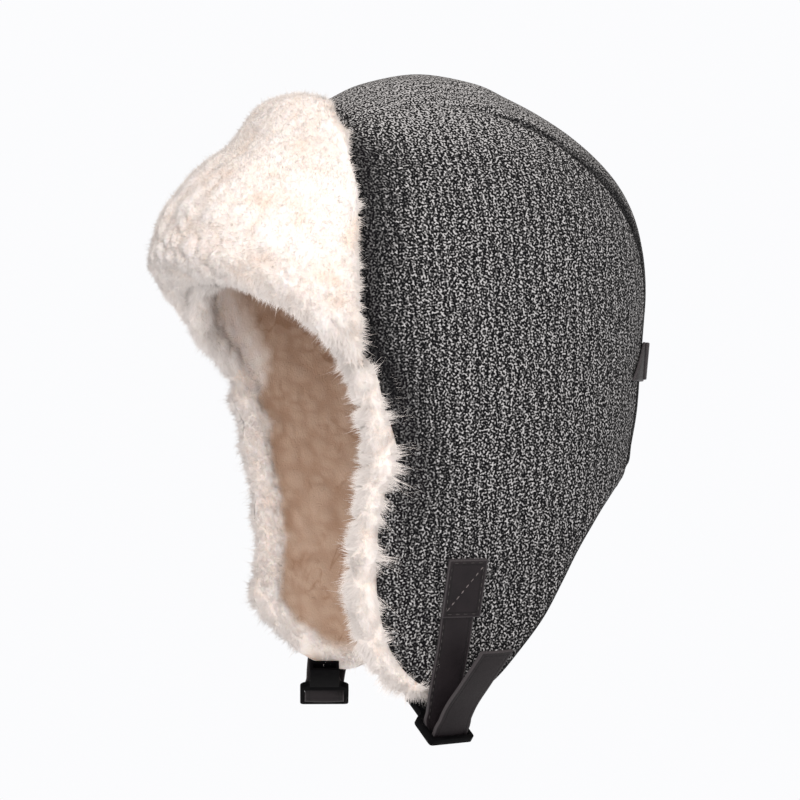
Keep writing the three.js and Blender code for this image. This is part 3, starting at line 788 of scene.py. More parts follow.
def crown_strip():
    """The strip over the crown: its middle line, from which its sides are sunk onto the shell."""
    bm, u, v = grid(44, 190)
    line = crown_profile()
    arc = length_along(line)
    along = v * arc[-1]
    back, height = np.interp(along, arc, line[:, 0]), np.interp(along, arc, line[:, 1])
    steps = [np.interp(along + 1, arc, way) - np.interp(along - 1, arc, way) for way in line.T]
    ahead = unit(np.stack(steps, axis=-1))
    inward = np.stack([ahead[:, 1], -ahead[:, 0]], axis=-1)
    here = back
    for _ in range(8):
        # The strip is as wide as its table says at the place where its edge ends up.
        side = (2 * u - 1) * (strip_half(here) + SEAM_GAP / 2)
        low, high = np.zeros(len(u)), np.full(len(u), 80.0)
        for _ in range(30):
            depth = (low + high) / 2
            point = np.stack([side, back + inward[:, 0] * depth, height + inward[:, 1] * depth], axis=-1)
            outside = outside_shell(point) > 0
            low, high = np.where(outside, depth, low), np.where(outside, high, depth)
        here = (here + point[:, 1]) / 2
    set_coordinates(bm, point)
    face_way(bm, (0, 0, 1))
    normal = unit_normals(bm)
    seam = (1 - np.abs(2 * u - 1)) * strip_half(here) * 1.05
    drawn_in = seam_depth(point[:, 1])
    hem = np.minimum(along, arc[-1] - along)
    # The temple's crease and the band of painted shade are the side panels', so they are kept far away.
    far = 300.0
    relief = knit_relief(np.full(len(u), far), point[:, 2], hem, seam, drawn_in)
    point = point + normal * relief[:, None]
    set_coordinates(bm, point)
    past_band = point[:, 1] + 500 * (point[:, 1] > 40)
    write_value(bm, "shade", knit_seams_and_painted_light(past_band, point[:, 2], hem, seam))
    write_uv(bm, side * MM + 4, along * MM)
    return finish_piece("knit_crown_strip", bm, KNIT, "knit")


# The pile


def scattered(points, triangles, count, weight, rng):
    """Random places on a surface, more where it weighs more: their triangles and their coordinates."""
    a, b, c = (points[triangles[:, k]] for k in range(3))
    area = np.linalg.norm(np.cross(b - a, c - a), axis=1) * weight
    chosen = rng.choice(len(area), count, p=area / area.sum())
    u, v = rng.random((2, count, 1))
    u, v = np.where(u + v > 1, 1 - u, u), np.where(u + v > 1, 1 - v, v)
    return chosen, a[chosen] + u * (b - a)[chosen] + v * (c - a)[chosen]


def surface_of(obj):
    """A mesh's corners, their normals and its triangles."""
    mesh = obj.data
    mesh.calc_loop_triangles()
    points = np.zeros(len(mesh.vertices) * 3)
    normals = np.zeros(len(mesh.vertices) * 3)
    triangles = np.zeros(len(mesh.loop_triangles) * 3, int)
    mesh.vertices.foreach_get("co", points)
    mesh.vertices.foreach_get("normal", normals)
    mesh.loop_triangles.foreach_get("vertices", triangles)
    return points.reshape(-1, 3), normals.reshape(-1, 3), triangles.reshape(-1, 3)


def nearest_two(points, centres):
    """The nearest centre of each point, and the distances to it and to the next one."""
    tree = kdtree.KDTree(len(centres))
    for k, centre in enumerate(centres):
        tree.insert(centre, k)
    tree.balance()
    found = [tree.find_n(point, 2) for point in points]
    first = np.array([pair[0][1] for pair in found])
    near = np.array([pair[0][2] for pair in found])
    next_ = np.array([pair[1][2] for pair in found])
    return first, near, next_


def curl_relief(points, centres):
    """Plump curls: 1 on top of a curl and 0 in the valleys between them."""
    _, near, next_ = nearest_two(points, centres)
    return smoothstep(0, 0.6, (next_ - near) / (next_ + near))


def curls_on(points, wool, rng):
    """Random centres of curls, and how high the curls and the clumps of them stand at each point."""
    centres = points[rng.choice(len(points), wool["curls"], replace=False)]
    return centres, curl_relief(points, centres), curl_relief(points, centres[: wool["clumps"]])


def strand_mesh(name, root, tip, width, normal, tone, inside):
    """Fine three-sided strands, joined in one mesh and shaded like what they grow on."""
    count = len(root)
    axis = unit(tip - root)
    helper = np.where(np.abs(axis[:, 2:3]) < 0.8, [[0.0, 0.0, 1.0]], [[1.0, 0.0, 0.0]])
    across = unit(np.cross(axis, helper))
    other = np.cross(axis, across)
    points = np.zeros((count, 4, 3))
    for k in range(3):
        turn = 2 * math.pi * k / 3
        points[:, k] = root + (across * math.cos(turn) + other * math.sin(turn)) * width[:, None] / 2
    points[:, 3] = tip
    faces = np.array([(0, 1, 3), (1, 2, 3), (2, 0, 3)])[None] + 4 * np.arange(count)[:, None, None]
    mesh = bpy.data.meshes.new(name)
    mesh.vertices.add(count * 4)
    mesh.vertices.foreach_set("co", points.ravel())
    mesh.loops.add(count * 9)
    mesh.loops.foreach_set("vertex_index", faces.ravel())
    mesh.polygons.add(count * 3)
    mesh.polygons.foreach_set("loop_start", np.arange(count * 3) * 3)
    mesh.polygons.foreach_set("use_smooth", np.ones(count * 3, bool))
    mesh.update(calc_edges=True)
    mesh.normals_split_custom_set_from_vertices(np.repeat(normal, 4, axis=0).tolist())
    # Painted shade: the root of a strand is darkened as in its neighbours' shade, and its tip is paler.
    shade = np.clip(np.repeat(tone[:, None], 4, axis=1) + np.array([-0.2, -0.2, -0.2, 0.15]), 0, 1)
    mesh.attributes.new("tone", "FLOAT", "POINT").data.foreach_set("value", shade.ravel())
    mesh.attributes.new("inside", "FLOAT", "POINT").data.foreach_set("value", np.repeat(inside, 4))
    mesh.materials.append(WOOL)
    obj = add_object(name, mesh)
    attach(obj, "root")


def wool_piece(body, name, count, weight, coat, rng):
    """Wool strands on a pile body, drawn together into its curls and combed over its edges."""
    points, normals, triangles = surface_of(body)
    centres = coat["centres"]
    depth = np.zeros(len(points))
    body.data.attributes["depth"].data.foreach_get("value", depth)
    chosen, root = scattered(points, triangles, count, weight[triangles].mean(axis=1), rng)
    corner = triangles[chosen]
    normal = unit(normals[corner].mean(axis=1))
    tuft = np.where(rng.random(count) < 0.12, 1.5, 1.0)
    reach = (coat["long"][corner].mean(axis=1) * rng.uniform(0.55, 1.2, count) * tuft)[:, None] * MM
    curl = nearest_two(root, centres)[0]
    toward = centres[curl] - root
    toward -= (toward * normal).sum(axis=1, keepdims=True) * normal
    swirl = unit(np.cross(normal, toward)) * np.where(curl % 2 == 0, -1.0, 1.0)[:, None]
    loose = rng.normal(0, 1, (count, 3))
    tip = root + normal * reach * STRAND["up"] + toward * 0.1
    tip += swirl * reach * STRAND["swirl"] + loose * reach * STRAND["loose"]
    # Where they are combed over an edge they draw together in pointed tufts, each its own way.
    combed = coat["comb"][corner].mean(axis=1)
    pull = np.minimum(np.linalg.norm(combed, axis=1, keepdims=True), 1)
    size = rng.uniform(0.4, 1.4, (len(centres), 1))[curl]
    bent = rng.normal(0, 1, (len(centres), 3))[curl]
    tip += combed * reach * size + bent * pull * reach * 0.3 + toward * pull * 0.5
    tip[:, 2] -= STRAND["sag"] * reach[:, 0]
    wide = rng.uniform(0.22, 0.42, count) * (1 - 0.3 * pull[:, 0]) * MM
    # A strand's tone carries the pile's painted shade and the rims' painted light, with a random part.
    tone = np.clip((depth + coat["pale"])[corner].mean(axis=1) + rng.normal(0.05, 0.13, count), 0, 1)
    lean = unit(normal + loose * 0.28 + np.array([0, 0, 0.15]) + pull * np.array(LIT_FREELY))
    inside = coat["inside"][corner].mean(axis=1)
    strand_mesh(name, root - normal * STRAND["rooted"] * MM, tip, wide, lean, tone, inside)


def wool_on(body, name, count, coat, rng):
    """A left and a right piece of wool over a pile body, with as many strands in each."""
    left = surface_of(body)[0][:, 0] > 0
    wool_piece(body, f"{name}_left", count, coat["weight"] * left, coat, rng)
    wool_piece(body, f"{name}_right", count, coat["weight"] * ~left, coat, rng)


def bumps(points, size):
    """Smooth noise from -1 to 1 with features of a size, at points in metres."""
    return np.array([noise.noise(Vector(p / size)) for p in points])


def raise_corners(bm, outward, lift):
    for vert, move in zip(bm.verts, outward * lift[:, None]):
        vert.co += Vector(move)


def pile_hem(point):
    """How far places on the shell lie above the pile's hem, which bulges further on the wearer's right."""
    back, height = point[..., 1], point[..., 2]
    ahead = from_table(RIGHT_HEM, height)
    ahead = ahead * smoothstep(-8, -50, point[..., 0]) * smoothstep(-10, -30, back)
    # Over the wearer's left temple the hem is tucked up behind the brim's fold.
    tucked = TUCKED_HEM * smoothstep(-10, 30, point[..., 0]) * smoothstep(-62, -80, back)
    return above_line(PILE_LINE, back + ahead, height - tucked)


def lining_coat(place, hem, cover, outside):
    """Where the lining's strands grow, how long they are and how they are combed."""
    # Near the hem the strands lean out over it, and at the knit's edge over the knit.
    toward_knit = np.zeros(place.shape)
    for axis in (1, 2):
        step = 0.5 * np.eye(3)[axis]
        toward_knit[:, axis] = pile_hem(place + step) - pile_hem(place - step)
    right = place[:, 0] < 0
    over_knit = smoothstep(-5.5, -1, cover) * outside
    over_hem = smoothstep(9, 2, hem) * np.where(right, 0.2, 0.5)
    comb = unit(toward_knit) * (over_knit * 1.3 - over_hem * (1 - over_knit))[:, None]
    # The right buckle half hangs from under the wool, which lies over its top.
    near_buckle = smoothstep(8, 2, hem) * bell(place[:, 1] + 20, 12)
    near_buckle = near_buckle * (right & (place[:, 2] < -120))
    over_buckle = near_buckle * ~outside
    comb += np.array([0.8, 0, -0.5]) * over_buckle[:, None]
    # Strands grow where the knit doesn't cover the pile, thickest on the rolled hems.
    rim = np.where(outside, smoothstep(16, 2, cover), smoothstep(15, 5, hem))
    weight = np.where(outside & (cover > 0.5), 0.0, 0.2 + (2.2 + 1.4 * outside) * rim)
    weight *= np.where(place[:, 2] > 92, 0.5, 1.0)
    weight *= np.where((place[:, 1] > 20) & (rim > 0.3) & outside, 0.4, 1.0)
    weight *= np.where((near_buckle > 0.1) & (outside | (hem < 6)), 0.0, 1 + near_buckle)
    weight *= np.where(right & (place[:, 1] < 20) & outside, 0.5, 1.0)
    long = np.where(outside, 2.7, 1.4 + 1.7 * rim) + 0.8 * np.linalg.norm(comb, axis=1)
    long = long + 0.6 * over_buckle
    # Behind, the pile keeps short and inside the knit's edge.
    behind = smoothstep(-10, 12, place[:, 1]) * smoothstep(14, 4, cover)
    return dict(weight=weight, long=long * (1 - 0.5 * behind), comb=comb * (1 - behind)[:, None])


def pile_lining(rng):
    """The lining's body, a thick bell with rolled hems, and the coat of wool that grows on it."""
    bm, u, v = grid(290, 140)
    last = len(RINGS) - 1

    def clear(r, a):
        return pile_hem(shell_point(np.clip(r, 0, last), a))

    cut_to_line(bm, (1 - v) * last, u * 2 * math.pi, clear)
    inside = doubled(bm)
    row, angle = read_value(bm, "row"), read_value(bm, "angle")
    flat = shell_point(row, angle)
    hem = np.maximum(pile_hem(flat), 0)
    cover = above_line(KNIT_LINE, flat[:, 1], flat[:, 2])
    # The hems bulge where the knit doesn't hold them, and stand proud of the lining behind them.
    swell = np.sqrt(np.clip(1 - (1 - np.minimum(hem / 8, 1)) ** 2, 0, 1))
    free = np.where(np.sin(angle) < 0, SWELL_RIGHT, SWELL_LEFT) * smoothstep(3, -4, cover)
    rolled = HEM_ROLL * bell(hem - 8, 5) * smoothstep(12, -10, flat[:, 2])
    middle = KNIT_WALL + LAYER_GAP + PILE_WALL / 2
    outer = -middle + swell * (PILE_WALL / 2 + free)
    inner = -middle - swell * PILE_WALL / 2 - rolled
    # Under the knit the pile follows its dents.
    no_seam = np.full(len(row), 99.0)
    relief = knit_relief(flat[:, 1], flat[:, 2], np.maximum(cover, 0), no_seam)
    outer = outer + np.minimum(relief, 0) * smoothstep(-1, 2, cover) - 0.3 * (cover > 0)
    set_coordinates(bm, shell_offset(row, angle, np.where(inside, inner, outer)))
    write_value(bm, "hem", hem)
    write_value(bm, "cover", cover)
    bmesh.ops.remove_doubles(bm, verts=bm.verts, dist=MERGED * MM)
    bmesh.ops.recalc_face_normals(bm, faces=bm.faces)
    # Merging reorders the corners, so what they carry is read back.
    points, outward = coordinates(bm), unit_normals(bm)
    hem, cover, outside = read_value(bm, "hem"), read_value(bm, "cover"), read_value(bm, "copy") < 0.5
    centres, curl, coarse = curls_on(points, LINING_WOOL, rng)
    rough = bumps(points, 0.012)
    quiet = np.where(points[:, 2] > EAR_LINE * MM, 0.25, 0.55)
    edge = smoothstep(18, 10, hem) * np.where(points[:, 0] < 0, quiet, 1)
    lift = (curl - 0.6) * (0.5 + 0.5 * edge) + (coarse - 0.6) * (0.5 + 0.9 * edge)
    lift += rough * (0.4 + 1.6 * edge)
    raise_corners(bm, outward, np.where(outside & (cover > 1), 0, lift) * MM)
    # Painted shade: inside the hollow the pile turns a warmer tan, which begins further from the hem at the
    # temples.
    begins = 9 + 12 * smoothstep(EAR_LINE * MM, EAR_LINE * MM + 0.03, points[:, 2])
    deep_shade = smoothstep(0, 1, (hem + 2 * rough - begins) / (begins * 0.7)) * ~outside
    # Painted light and shade: on the rolled hems the strands are made paler over a darker ground, and
    # outside the hollow the pile is paler.
    pale = np.maximum(smoothstep(9, 4, hem), outside)
    painted_light = 0.3 * (1 - deep_shade) - 0.2 * pale
    # The depth darkens the valleys between the curls, as painted shade.
    write_value(bm, "depth", np.clip(0.2 + 0.35 * curl + 0.2 * coarse + 0.2 * rough + painted_light, 0, 1))
    write_value(bm, "inside", deep_shade)
    coat = lining_coat(points / MM - np.array([0, 0, EAR_LINE]), hem, cover, outside)
    coat.update(centres=centres, inside=deep_shade, pale=pale * 0.5)
    return finish_piece("pile_lining_body", bm, PILE), coat


def brim_place(round_, rise):
    """The shell's row and angle at places round the brim and up it from its fold."""
    spread = BRIM_EDGE["angle"] - BRIM_FOLD["angle"]
    angle = np.radians(round_ * (BRIM_FOLD["angle"] + spread * np.maximum(rise, 0) ** 2.5))
    fold = BRIM_FOLD["front"] + (BRIM_FOLD["end"] - BRIM_FOLD["front"]) * np.abs(round_) ** 2.5
    edge = BRIM_EDGE["front"] + (BRIM_EDGE["end"] - BRIM_EDGE["front"]) * round_**2
    return row_at_height(fold + (edge - fold) * rise), angle


def brim_lean(rise):
    return LAYER_GAP + between(BRIM, np.asarray(rise) * (len(BRIM) - 1), "lean")


def brim_body(rng):
    """The brim's body, thin along its edges, and the coat of wool that grows on it."""
    bm, u, v = grid(150, 74)
    write_value(bm, "round", 2 * u - 1)
    write_value(bm, "rise", v)
    behind = doubled(bm)
    round_, rise = read_value(bm, "round"), read_value(bm, "rise")
    aside = np.abs(round_)
    rounding = np.sqrt(np.clip((1 - aside**9) * (1 - (1 - rise) ** 12) * (1 - rise**10), 0, 1))
    # The corners of the free edge are rounded.
    corner = smoothstep(0.7, 1, rise) * smoothstep(0.72, 1, aside)
    # The fold droops a little over the hem on the wearer's right.
    droop = BRIM_DROOP * smoothstep(-0.1, -0.5, round_) * (1 - rise) ** 4
    moved = rise - 0.10 * corner - 0.025 * smoothstep(0.6, 1, rise) - droop
    row, angle = brim_place(round_ * (1 - 0.03 * corner), moved)
    # The end edges wave, and high up they roll over past the backing.
    past = 1.8 * smoothstep(0.35, 0.8, rise) * aside**3
    wave = from_table(BRIM_WAVE, rise) * smoothstep(0.7, 1, aside)
    angle = angle + np.sign(round_) * np.radians(past + wave)
    full = between(BRIM, rise * (len(BRIM) - 1), "thick") * (1 - 0.12 * round_**2)
    full = full + from_table(BRIM_FLUFF, rise)
    # Low down at both ends the brim thins out into the hem.
    full = full - 4 * smoothstep(0.75, 1, aside) * smoothstep(0.45, 0.05, rise)
    # Behind, the fold rolls in against the hem.
    rolled = BRIM_ROLL * smoothstep(0.16, 0.03, rise) * smoothstep(0.97, 0.8, aside)
    front_face = BRIM_RIM - rolled + (full - BRIM_RIM + rolled) * rounding
    back_face = BRIM_RIM * (1 - rounding) - rolled
    under = brim_lean(rise) + BRIM_BACKING + LAYER_GAP
    set_coordinates(bm, shell_offset(row, angle, under + np.where(behind, back_face, front_face)))
    bmesh.ops.remove_doubles(bm, verts=bm.verts, dist=MERGED * MM)
    bmesh.ops.recalc_face_normals(bm, faces=bm.faces)
    bmesh.ops.smooth_vert(bm, verts=bm.verts, factor=0.5, use_axis_x=True, use_axis_y=True, use_axis_z=True)
    points, outward = coordinates(bm), unit_normals(bm)
    round_, rise, outside = read_value(bm, "round"), read_value(bm, "rise"), read_value(bm, "copy") < 0.5
    aside = np.abs(round_)
    centres, curl, coarse = curls_on(points, BRIM_WOOL, rng)
    rough = bumps(points, 0.02)
    low = smoothstep(0.5, 0.1, rise) * (1 - 0.7 * smoothstep(0, -0.4, round_))
    lift = (curl - 0.6) * (0.2 + 0.4 * low) + (coarse - 0.6) * (0.35 + 1.1 * low) + rough * (1.4 + low)
    raise_corners(bm, outward, lift * np.where(outside, 1, 0.2) * MM)
    spots = bumps(points + 0.5, 0.009)
    # The depth darkens the valleys between the curls, as painted shade, with random spots of tone.
    write_value(bm, "depth", np.clip(0.42 + 0.15 * curl + 0.25 * coarse + 0.3 * rough + 0.3 * spots, 0, 1))
    write_value(bm, "inside", np.zeros(len(points)))
    # At its ends and its free edge the strands lean out past the edge, and down under the fold.
    comb = np.zeros((len(points), 3))
    comb[:, 1] = 0.4 * smoothstep(0.93, 1, aside)
    down = (0.15 + 0.5 * smoothstep(0.3, 0.8, aside)) * smoothstep(0.12, 0.02, rise)
    comb[:, 2] = 0.2 * smoothstep(0.9, 1, rise) - down
    fold, ends, free = smoothstep(0.2, 0.05, rise), smoothstep(0.92, 1, aside), smoothstep(0.93, 1, rise)
    edge = np.maximum.reduce([fold, ends, free])
    long = 2.0 + 0.6 * np.abs(comb[:, 1]) + 1.6 * smoothstep(0.85, 0.97, aside) * smoothstep(0.3, 0.1, rise)
    weight = np.where(outside, 1.0 + 0.6 * edge, 0.02 + 0.4 * edge)
    # Painted light: the strands along the edges are made paler.
    coat = dict(weight=weight, long=long, comb=comb, centres=centres, pale=0.2 * edge)
    coat["inside"] = np.zeros(len(points))
    return finish_piece("brim_pile_body", bm, PILE), coat


def brim_backing():
    """The knit behind the brim, drawn back a little from the brim's edges."""
    bm, u, v = grid(70, 36)
    rise = BACKING_LOW + v * (BACKING_HIGH - BACKING_LOW)
    row, angle = brim_place((2 * u - 1) * 0.94, rise)
    set_coordinates(bm, shell_offset(row, angle, brim_lean(rise) + BRIM_BACKING))
    write_uv(bm, (2 * u - 1) * 0.085 + 7, v * 0.085)
    write_value(bm, "shade", np.ones(len(u)))
    face_way(bm, (0, -1, 0))
    return finish_piece("knit_brim_backing", bm, KNIT, "knit")


# Leather


def strap_course():
    """The left strap's middle line, its ways across and out of the leather, and its length so far."""
    row, angle = shell_place(np.array([p[0] for p in STRAP_SEWN]), np.array([p[1] for p in STRAP_SEWN]))
    sewn = shell_offset(row, angle, np.full(len(row), LAYER_GAP + STRAP_THICK / 2))
    bend = BAR["radius"] + LAYER_GAP + STRAP_THICK / 2
    around = np.radians([180, 210, 240, 270, 300, 330])
    turn = math.radians(BAR["turn"])
    away = bend * np.cos(around)
    side, back = BAR["side"] + away * math.cos(turn), BAR["back"] + away * math.sin(turn)
    loop = np.stack([side, back, BAR["height"] + bend * np.sin(around)], axis=-1)
    points = np.concatenate([sewn, np.array(STRAP_HANGING)[:, :3], loop, np.array(STRAP_END)[:, :3]])
    turns = [0, 0, 0, *(p[3] for p in STRAP_HANGING), *[BAR["turn"]] * 6, *(p[3] for p in STRAP_END)]
    steps = 8
    line = smooth_line(points, steps)
    turned = np.radians(np.interp(np.arange(len(line)) / steps, np.arange(len(points)), turns))
    across = np.stack([-np.sin(turned), np.cos(turned), np.zeros_like(turned)], axis=-1)
    out = np.cross(unit(np.gradient(line, axis=0)), across)
    return dict(line=line, across=across, out=out, arc=length_along(line))


def on_strap(course, along, aside, lift):
    """Places along the strap, beside its middle and above it, and the way out of the leather there."""

    def at(way):
        return np.stack([np.interp(along, course["arc"], part) for part in course[way].T], axis=-1)

    return at("line") + at("across") * np.asarray(aside)[..., None] + at("out") * lift, at("out")


def leather_sheet(name, bm, points, u, v, size, thick, edge_width):
    """A sheet of leather with rounded edges, which stores how far each corner lies from them in metres."""
    set_coordinates(bm, points)
    write_uv(bm, np.minimum(u, 1 - u) * size[0] * MM, np.minimum(v, 1 - v) * size[1] * MM)
    bmesh.ops.recalc_face_normals(bm, faces=bm.faces)
    obj = finish_piece(name, bm, LEATHER, "edge")
    wall = obj.modifiers.new("wall", "SOLIDIFY")
    wall.thickness = thick * MM
    wall.offset = 0
    edge = obj.modifiers.new("edge", "BEVEL")
    edge.width = edge_width * MM
    edge.segments = 2
    edge.limit_method = "ANGLE"
    edge.angle_limit = math.radians(50)
    return obj


def on_side(points, sign):
    """Mirrors the left strap's points for the right one, which lies further forward."""
    return points if sign > 0 else points * (-1, 1, 1) - (0, RIGHT_STRAP_AHEAD, 0)


def strap_patch(name, sign, course):
    """The second layer of leather over the sewn end of the strap."""
    bm, u, v = grid(10, 14)
    lift = (STRAP_THICK + PATCH["thick"] - 0.15) / 2
    points, _ = on_strap(course, 0.2 + v * PATCH["length"], (u - 0.5) * STRAP_WIDTH, lift)
    size = (STRAP_WIDTH, PATCH["length"])
    leather_sheet(name, bm, on_side(points, sign), u, v, size, PATCH["thick"], 0.25)


def strap(name, sign, course, node):
    """A strap from its sewn end down to the buckle, round its bar and up to its free end."""
    line, arc = course["line"], course["arc"]
    bm, u, v = grid(14, len(line) - 1)
    step = np.rint(v * (len(line) - 1)).astype(int)
    # Below the patch the leather is drawn in at its back edge, and round the bar it fills the window.
    narrow = STRAP_DRAWN_IN * smoothstep(PATCH["length"] - 2, PATCH["length"], arc) * smoothstep(78, 62, arc)
    at_bar = STRAP_AT_BAR * smoothstep(70, 74, arc) * smoothstep(96, 92, arc)
    aside = (u - 0.5) * (STRAP_WIDTH - 0.6 + at_bar[step]) - u * narrow[step]
    # The leather cups a little across its width, least where it is sewn on and hangs straight.
    straight_steps = 40
    cup = 0.35 * (2 * u - 1) ** 2 * np.where(step > straight_steps, 1, 0.3)
    points = line[step] + course["across"][step] * aside[:, None] + course["out"][step] * cup[:, None]
    size = (STRAP_WIDTH, STRAP_LENGTH)
    obj = leather_sheet(name, bm, on_side(points, sign), u, v, size, STRAP_THICK - 0.3, 0.35)
    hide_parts(node)


def stitches(name, material, rows, sign):
    """Short raised stitches lying on leather, as small rounded rods."""
    bm = bmesh.new()
    shape = Matrix.Diagonal([STITCH[side] / 2 * MM for side in ("length", "width", "height")] + [1])
    for at, along, out in rows:
        x = Vector(along).normalized()
        z = Vector(out).normalized()
        y = z.cross(x).normalized()
        where = Matrix.Translation(Vector((at[0], at[1], at[2] + EAR_LINE)) * MM)
        turn = Matrix((x, y, z)).transposed().to_4x4()
        bmesh.ops.create_uvsphere(bm, u_segments=8, v_segments=6, radius=1, matrix=where @ turn @ shape)
    if sign < 0:
        bmesh.ops.scale(bm, vec=(-1, 1, 1), verts=bm.verts)
        bmesh.ops.translate(bm, vec=(0, -RIGHT_STRAP_AHEAD * MM, 0), verts=bm.verts)
        bmesh.ops.reverse_faces(bm, faces=bm.faces)
    finish_piece(name, bm, material)


def strap_stitches(side_name, sign, course):
    """Rows round the patch and down the strap's front edge, and one row slanting across the patch."""

    def run(start, end, lift):
        start, end = np.array(start, float), np.array(end, float)
        count = max(2, int(np.linalg.norm(end - start) / STITCH["pitch"]))
        row = []
        for t in (np.arange(count) + 0.5) / count:
            here, out = on_strap(course, *(start + (end - start) * t), lift)
            there, _ = on_strap(course, *(start + (end - start) * (t + 0.05)), lift)
            row.append((here, there - here, out))
        return row

    edge = STRAP_WIDTH / 2 - 1.6
    length = PATCH["length"]
    top = STRAP_THICK / 2 + PATCH["thick"]
    rows = run((1.6, -edge), (1.6, edge), top)
    rows += run((length - 1.4, -edge), (length - 1.4, edge), top)
    rows += run((3, -edge), (length - 2, -edge), top)
    rows += run((3, edge), (length - 2, edge), top)
    rows += run((length + 3, -edge), (74, -edge), STRAP_THICK / 2)
    stitches(f"stitches_rows_{side_name}", DARK_THREAD, rows, sign)
    stitches(f"stitches_cross_{side_name}", THREAD, run((length - 2.5, -edge), (3, edge), top), sign)


def back_tab():
    """Two layers of leather: one sewn down at its slanted ends and a straight one over it."""
    for layer in TAB_LAYERS:
        bm, u, v = grid(60, 8)
        low, high = TAB_LOW["height"], TAB_HIGH["height"]
        half = TAB_LOW["half"] + (TAB_HIGH["half"] - TAB_LOW["half"]) * v
        if layer["straight"]:
            low, half = low + 1, TAB_HIGH["half"] - 1.5
        angle = math.pi + np.radians(half * (1 - 2 * u))
        arch = layer["arch"] * np.sin(u * math.pi) ** 0.6
        points = shell_offset(row_at_height(low + (high - low) * v), angle, LAYER_GAP + arch + layer["out"])
        obj = leather_sheet(layer["name"], bm, points, u, v, (100, 18), layer["thick"], 0.3)
        if not layer["straight"]:
            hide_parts("back_tab")


# Buckles


def buckle(name, node):
    """The moulded half: the part's own solid with every edge rounded."""
    bm = bmesh.new()
    bm.from_mesh(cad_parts[node].data)
    bmesh.ops.remove_doubles(bm, verts=bm.verts, dist=0.02 * MM)
    bmesh.ops.dissolve_limit(bm, angle_limit=math.radians(2), verts=bm.verts, edges=bm.edges)
    sharp = [e for e in bm.edges if len(e.link_faces) == 2 and e.calc_face_angle(0) > math.radians(35)]
    rounding = dict(offset=0.4 * MM, segments=2, profile=0.5, clamp_overlap=True)
    bmesh.ops.bevel(bm, geom=sharp, affect="EDGES", material=-1, **rounding)
    obj = finish_piece(name, bm, PLASTIC)
    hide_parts(node)


# The hat, its studio and its camera


def build():
    """Every piece; the wool's random places are drawn in this order."""
    rng = np.random.default_rng(7)

    for obj, node in (
        (crown_strip(), "crown_strip"),
        (side_panel("knit_side_left", 1), "side_panel_left"),
        (side_panel("knit_side_right", -1), "side_panel_right"),
        (brim_backing(), "brim_backing"),
    ):
        area, size = as_cloth(obj)
        width, length = sorted(size)[-2:]
        width = max(width, area / length * 1.05)
        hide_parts(node)

    lining, coat = pile_lining(rng)
    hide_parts("pile_lining")
    wool_on(lining, "lining_wool", LINING_WOOL["strands"], coat, rng)

    brim, coat = brim_body(rng)
    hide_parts("brim_pile")
    wool_on(brim, "brim_wool", BRIM_WOOL["strands"], coat, rng)

    course = strap_course()
    for side_name, sign in (("left", 1), ("right", -1)):
        strap(f"leather_strap_{side_name}", sign, course, f"strap_{side_name}")
        strap_patch(f"strap_patch_{side_name}", sign, course)
        strap_stitches(side_name, sign, course)
    back_tab()
    buckle("moulded_socket", "buckle_socket")
    buckle("moulded_plug", "buckle_plug")


def face_back(obj, back):
    """Turns a lamp or a camera to look the other way than back."""
    obj.rotation_mode = "QUATERNION"
    obj.rotation_quaternion = (-back).to_track_quat("-Z", "Y")


def lamp(name, azimuth, elevation, away, size, power, color):
    """A soft round lamp that looks at the hat's middle."""
    data = bpy.data.lights.new(name, "AREA")
    data.shape = "DISK"
    data.size = size
    data.energy = power
    data.color = color
    light = add_object(name, data)
    a, e = math.radians(azimuth), math.radians(elevation)
    back = Vector((math.sin(a) * math.cos(e), -math.cos(a) * math.cos(e), math.sin(e)))
    light.location = CENTRE + back * away
    face_back(light, back)


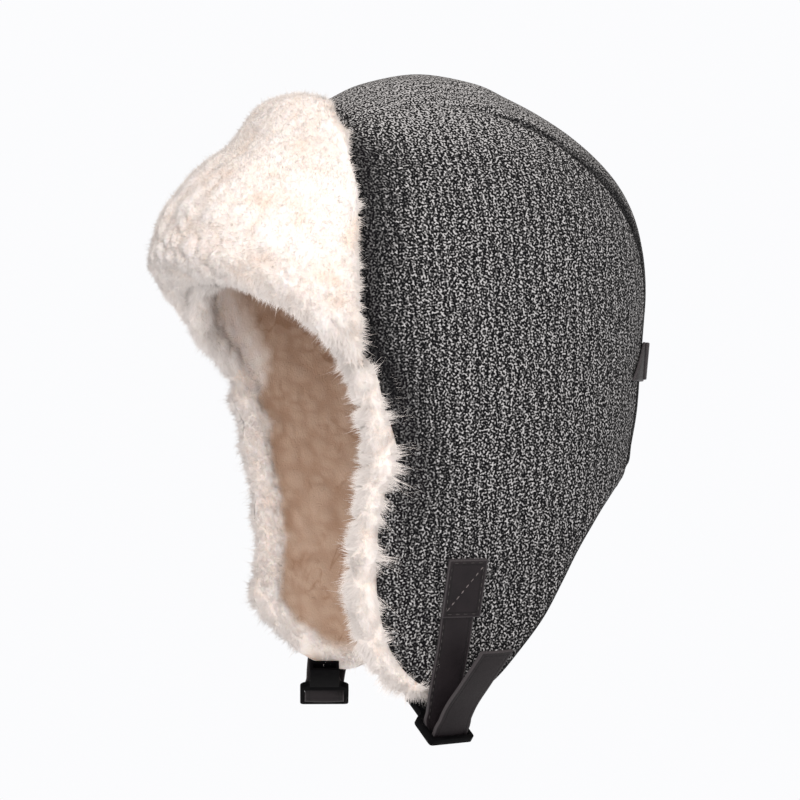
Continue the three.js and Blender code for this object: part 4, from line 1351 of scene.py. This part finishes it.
def studio():
    """A pale floor that fades into an even pale surround, a big soft key light and a fill."""
    bm = bmesh.new()
    bmesh.ops.create_circle(bm, cap_ends=True, segments=96, radius=30)
    bmesh.ops.translate(bm, vec=(0, 0, FLOOR), verts=bm.verts)
    mesh = bpy.data.meshes.new("floor")
    bm.to_mesh(mesh)
    bm.free()
    n = Nodes("pale_floor")
    place = n.place()
    away = n.add("ShaderNodeVectorMath", {0: place}, operation="LENGTH", output=1)
    far = n.fade(away, 0.25, 1.2)
    glow = n.add("ShaderNodeEmission", {"Color": SURROUND})
    n.surface(Base_Color=(0.8, 0.8, 0.8, 1), Roughness=0.9)
    mixed = n.add("ShaderNodeMixShader", {0: far, 1: n.shader.outputs[0], 2: glow})
    n.tree.links.new(mixed, n.tree.nodes["Material Output"].inputs["Surface"])
    mesh.materials.append(n.material)
    add_object("floor", mesh)

    world = bpy.data.worlds.new("surround")
    bpy.context.scene.world = world
    world.use_nodes = True
    tree = world.node_tree
    seen = tree.nodes["Background"]
    seen.inputs["Color"].default_value = SURROUND
    # The pale surround is bright to look at and gives a softer, dimmer light.
    ambient = tree.nodes.new("ShaderNodeBackground")
    ambient.inputs["Color"].default_value = AMBIENT
    ambient.inputs["Strength"].default_value = AMBIENT_STRENGTH
    path = tree.nodes.new("ShaderNodeLightPath")
    mixed = tree.nodes.new("ShaderNodeMixShader")
    tree.links.new(path.outputs["Is Camera Ray"], mixed.inputs[0])
    tree.links.new(ambient.outputs[0], mixed.inputs[1])
    tree.links.new(seen.outputs[0], mixed.inputs[2])
    tree.links.new(mixed.outputs[0], tree.nodes["World Output"].inputs["Surface"])

    for settings in LAMPS:
        lamp(**settings)

    bpy.context.scene.view_settings.view_transform = "Standard"
    bpy.context.scene.view_settings.look = "None"


def camera():
    """The photograph's camera, level with the ear line."""
    data = bpy.data.cameras.new("camera")
    data.lens = CAMERA_LENS
    data.sensor_width = 36
    data.clip_start, data.clip_end = 0.05, 100
    obj = add_object("camera", data)
    a = math.radians(CAMERA_ROUND)
    right = Vector((math.cos(a), math.sin(a), 0))
    back = Vector((math.sin(a), -math.cos(a), 0))
    obj.location = right * CAMERA_ASIDE * MM + back * CAMERA_AWAY + CENTRE
    face_back(obj, back)
    bpy.context.scene.camera = obj


camera()
studio()
build()
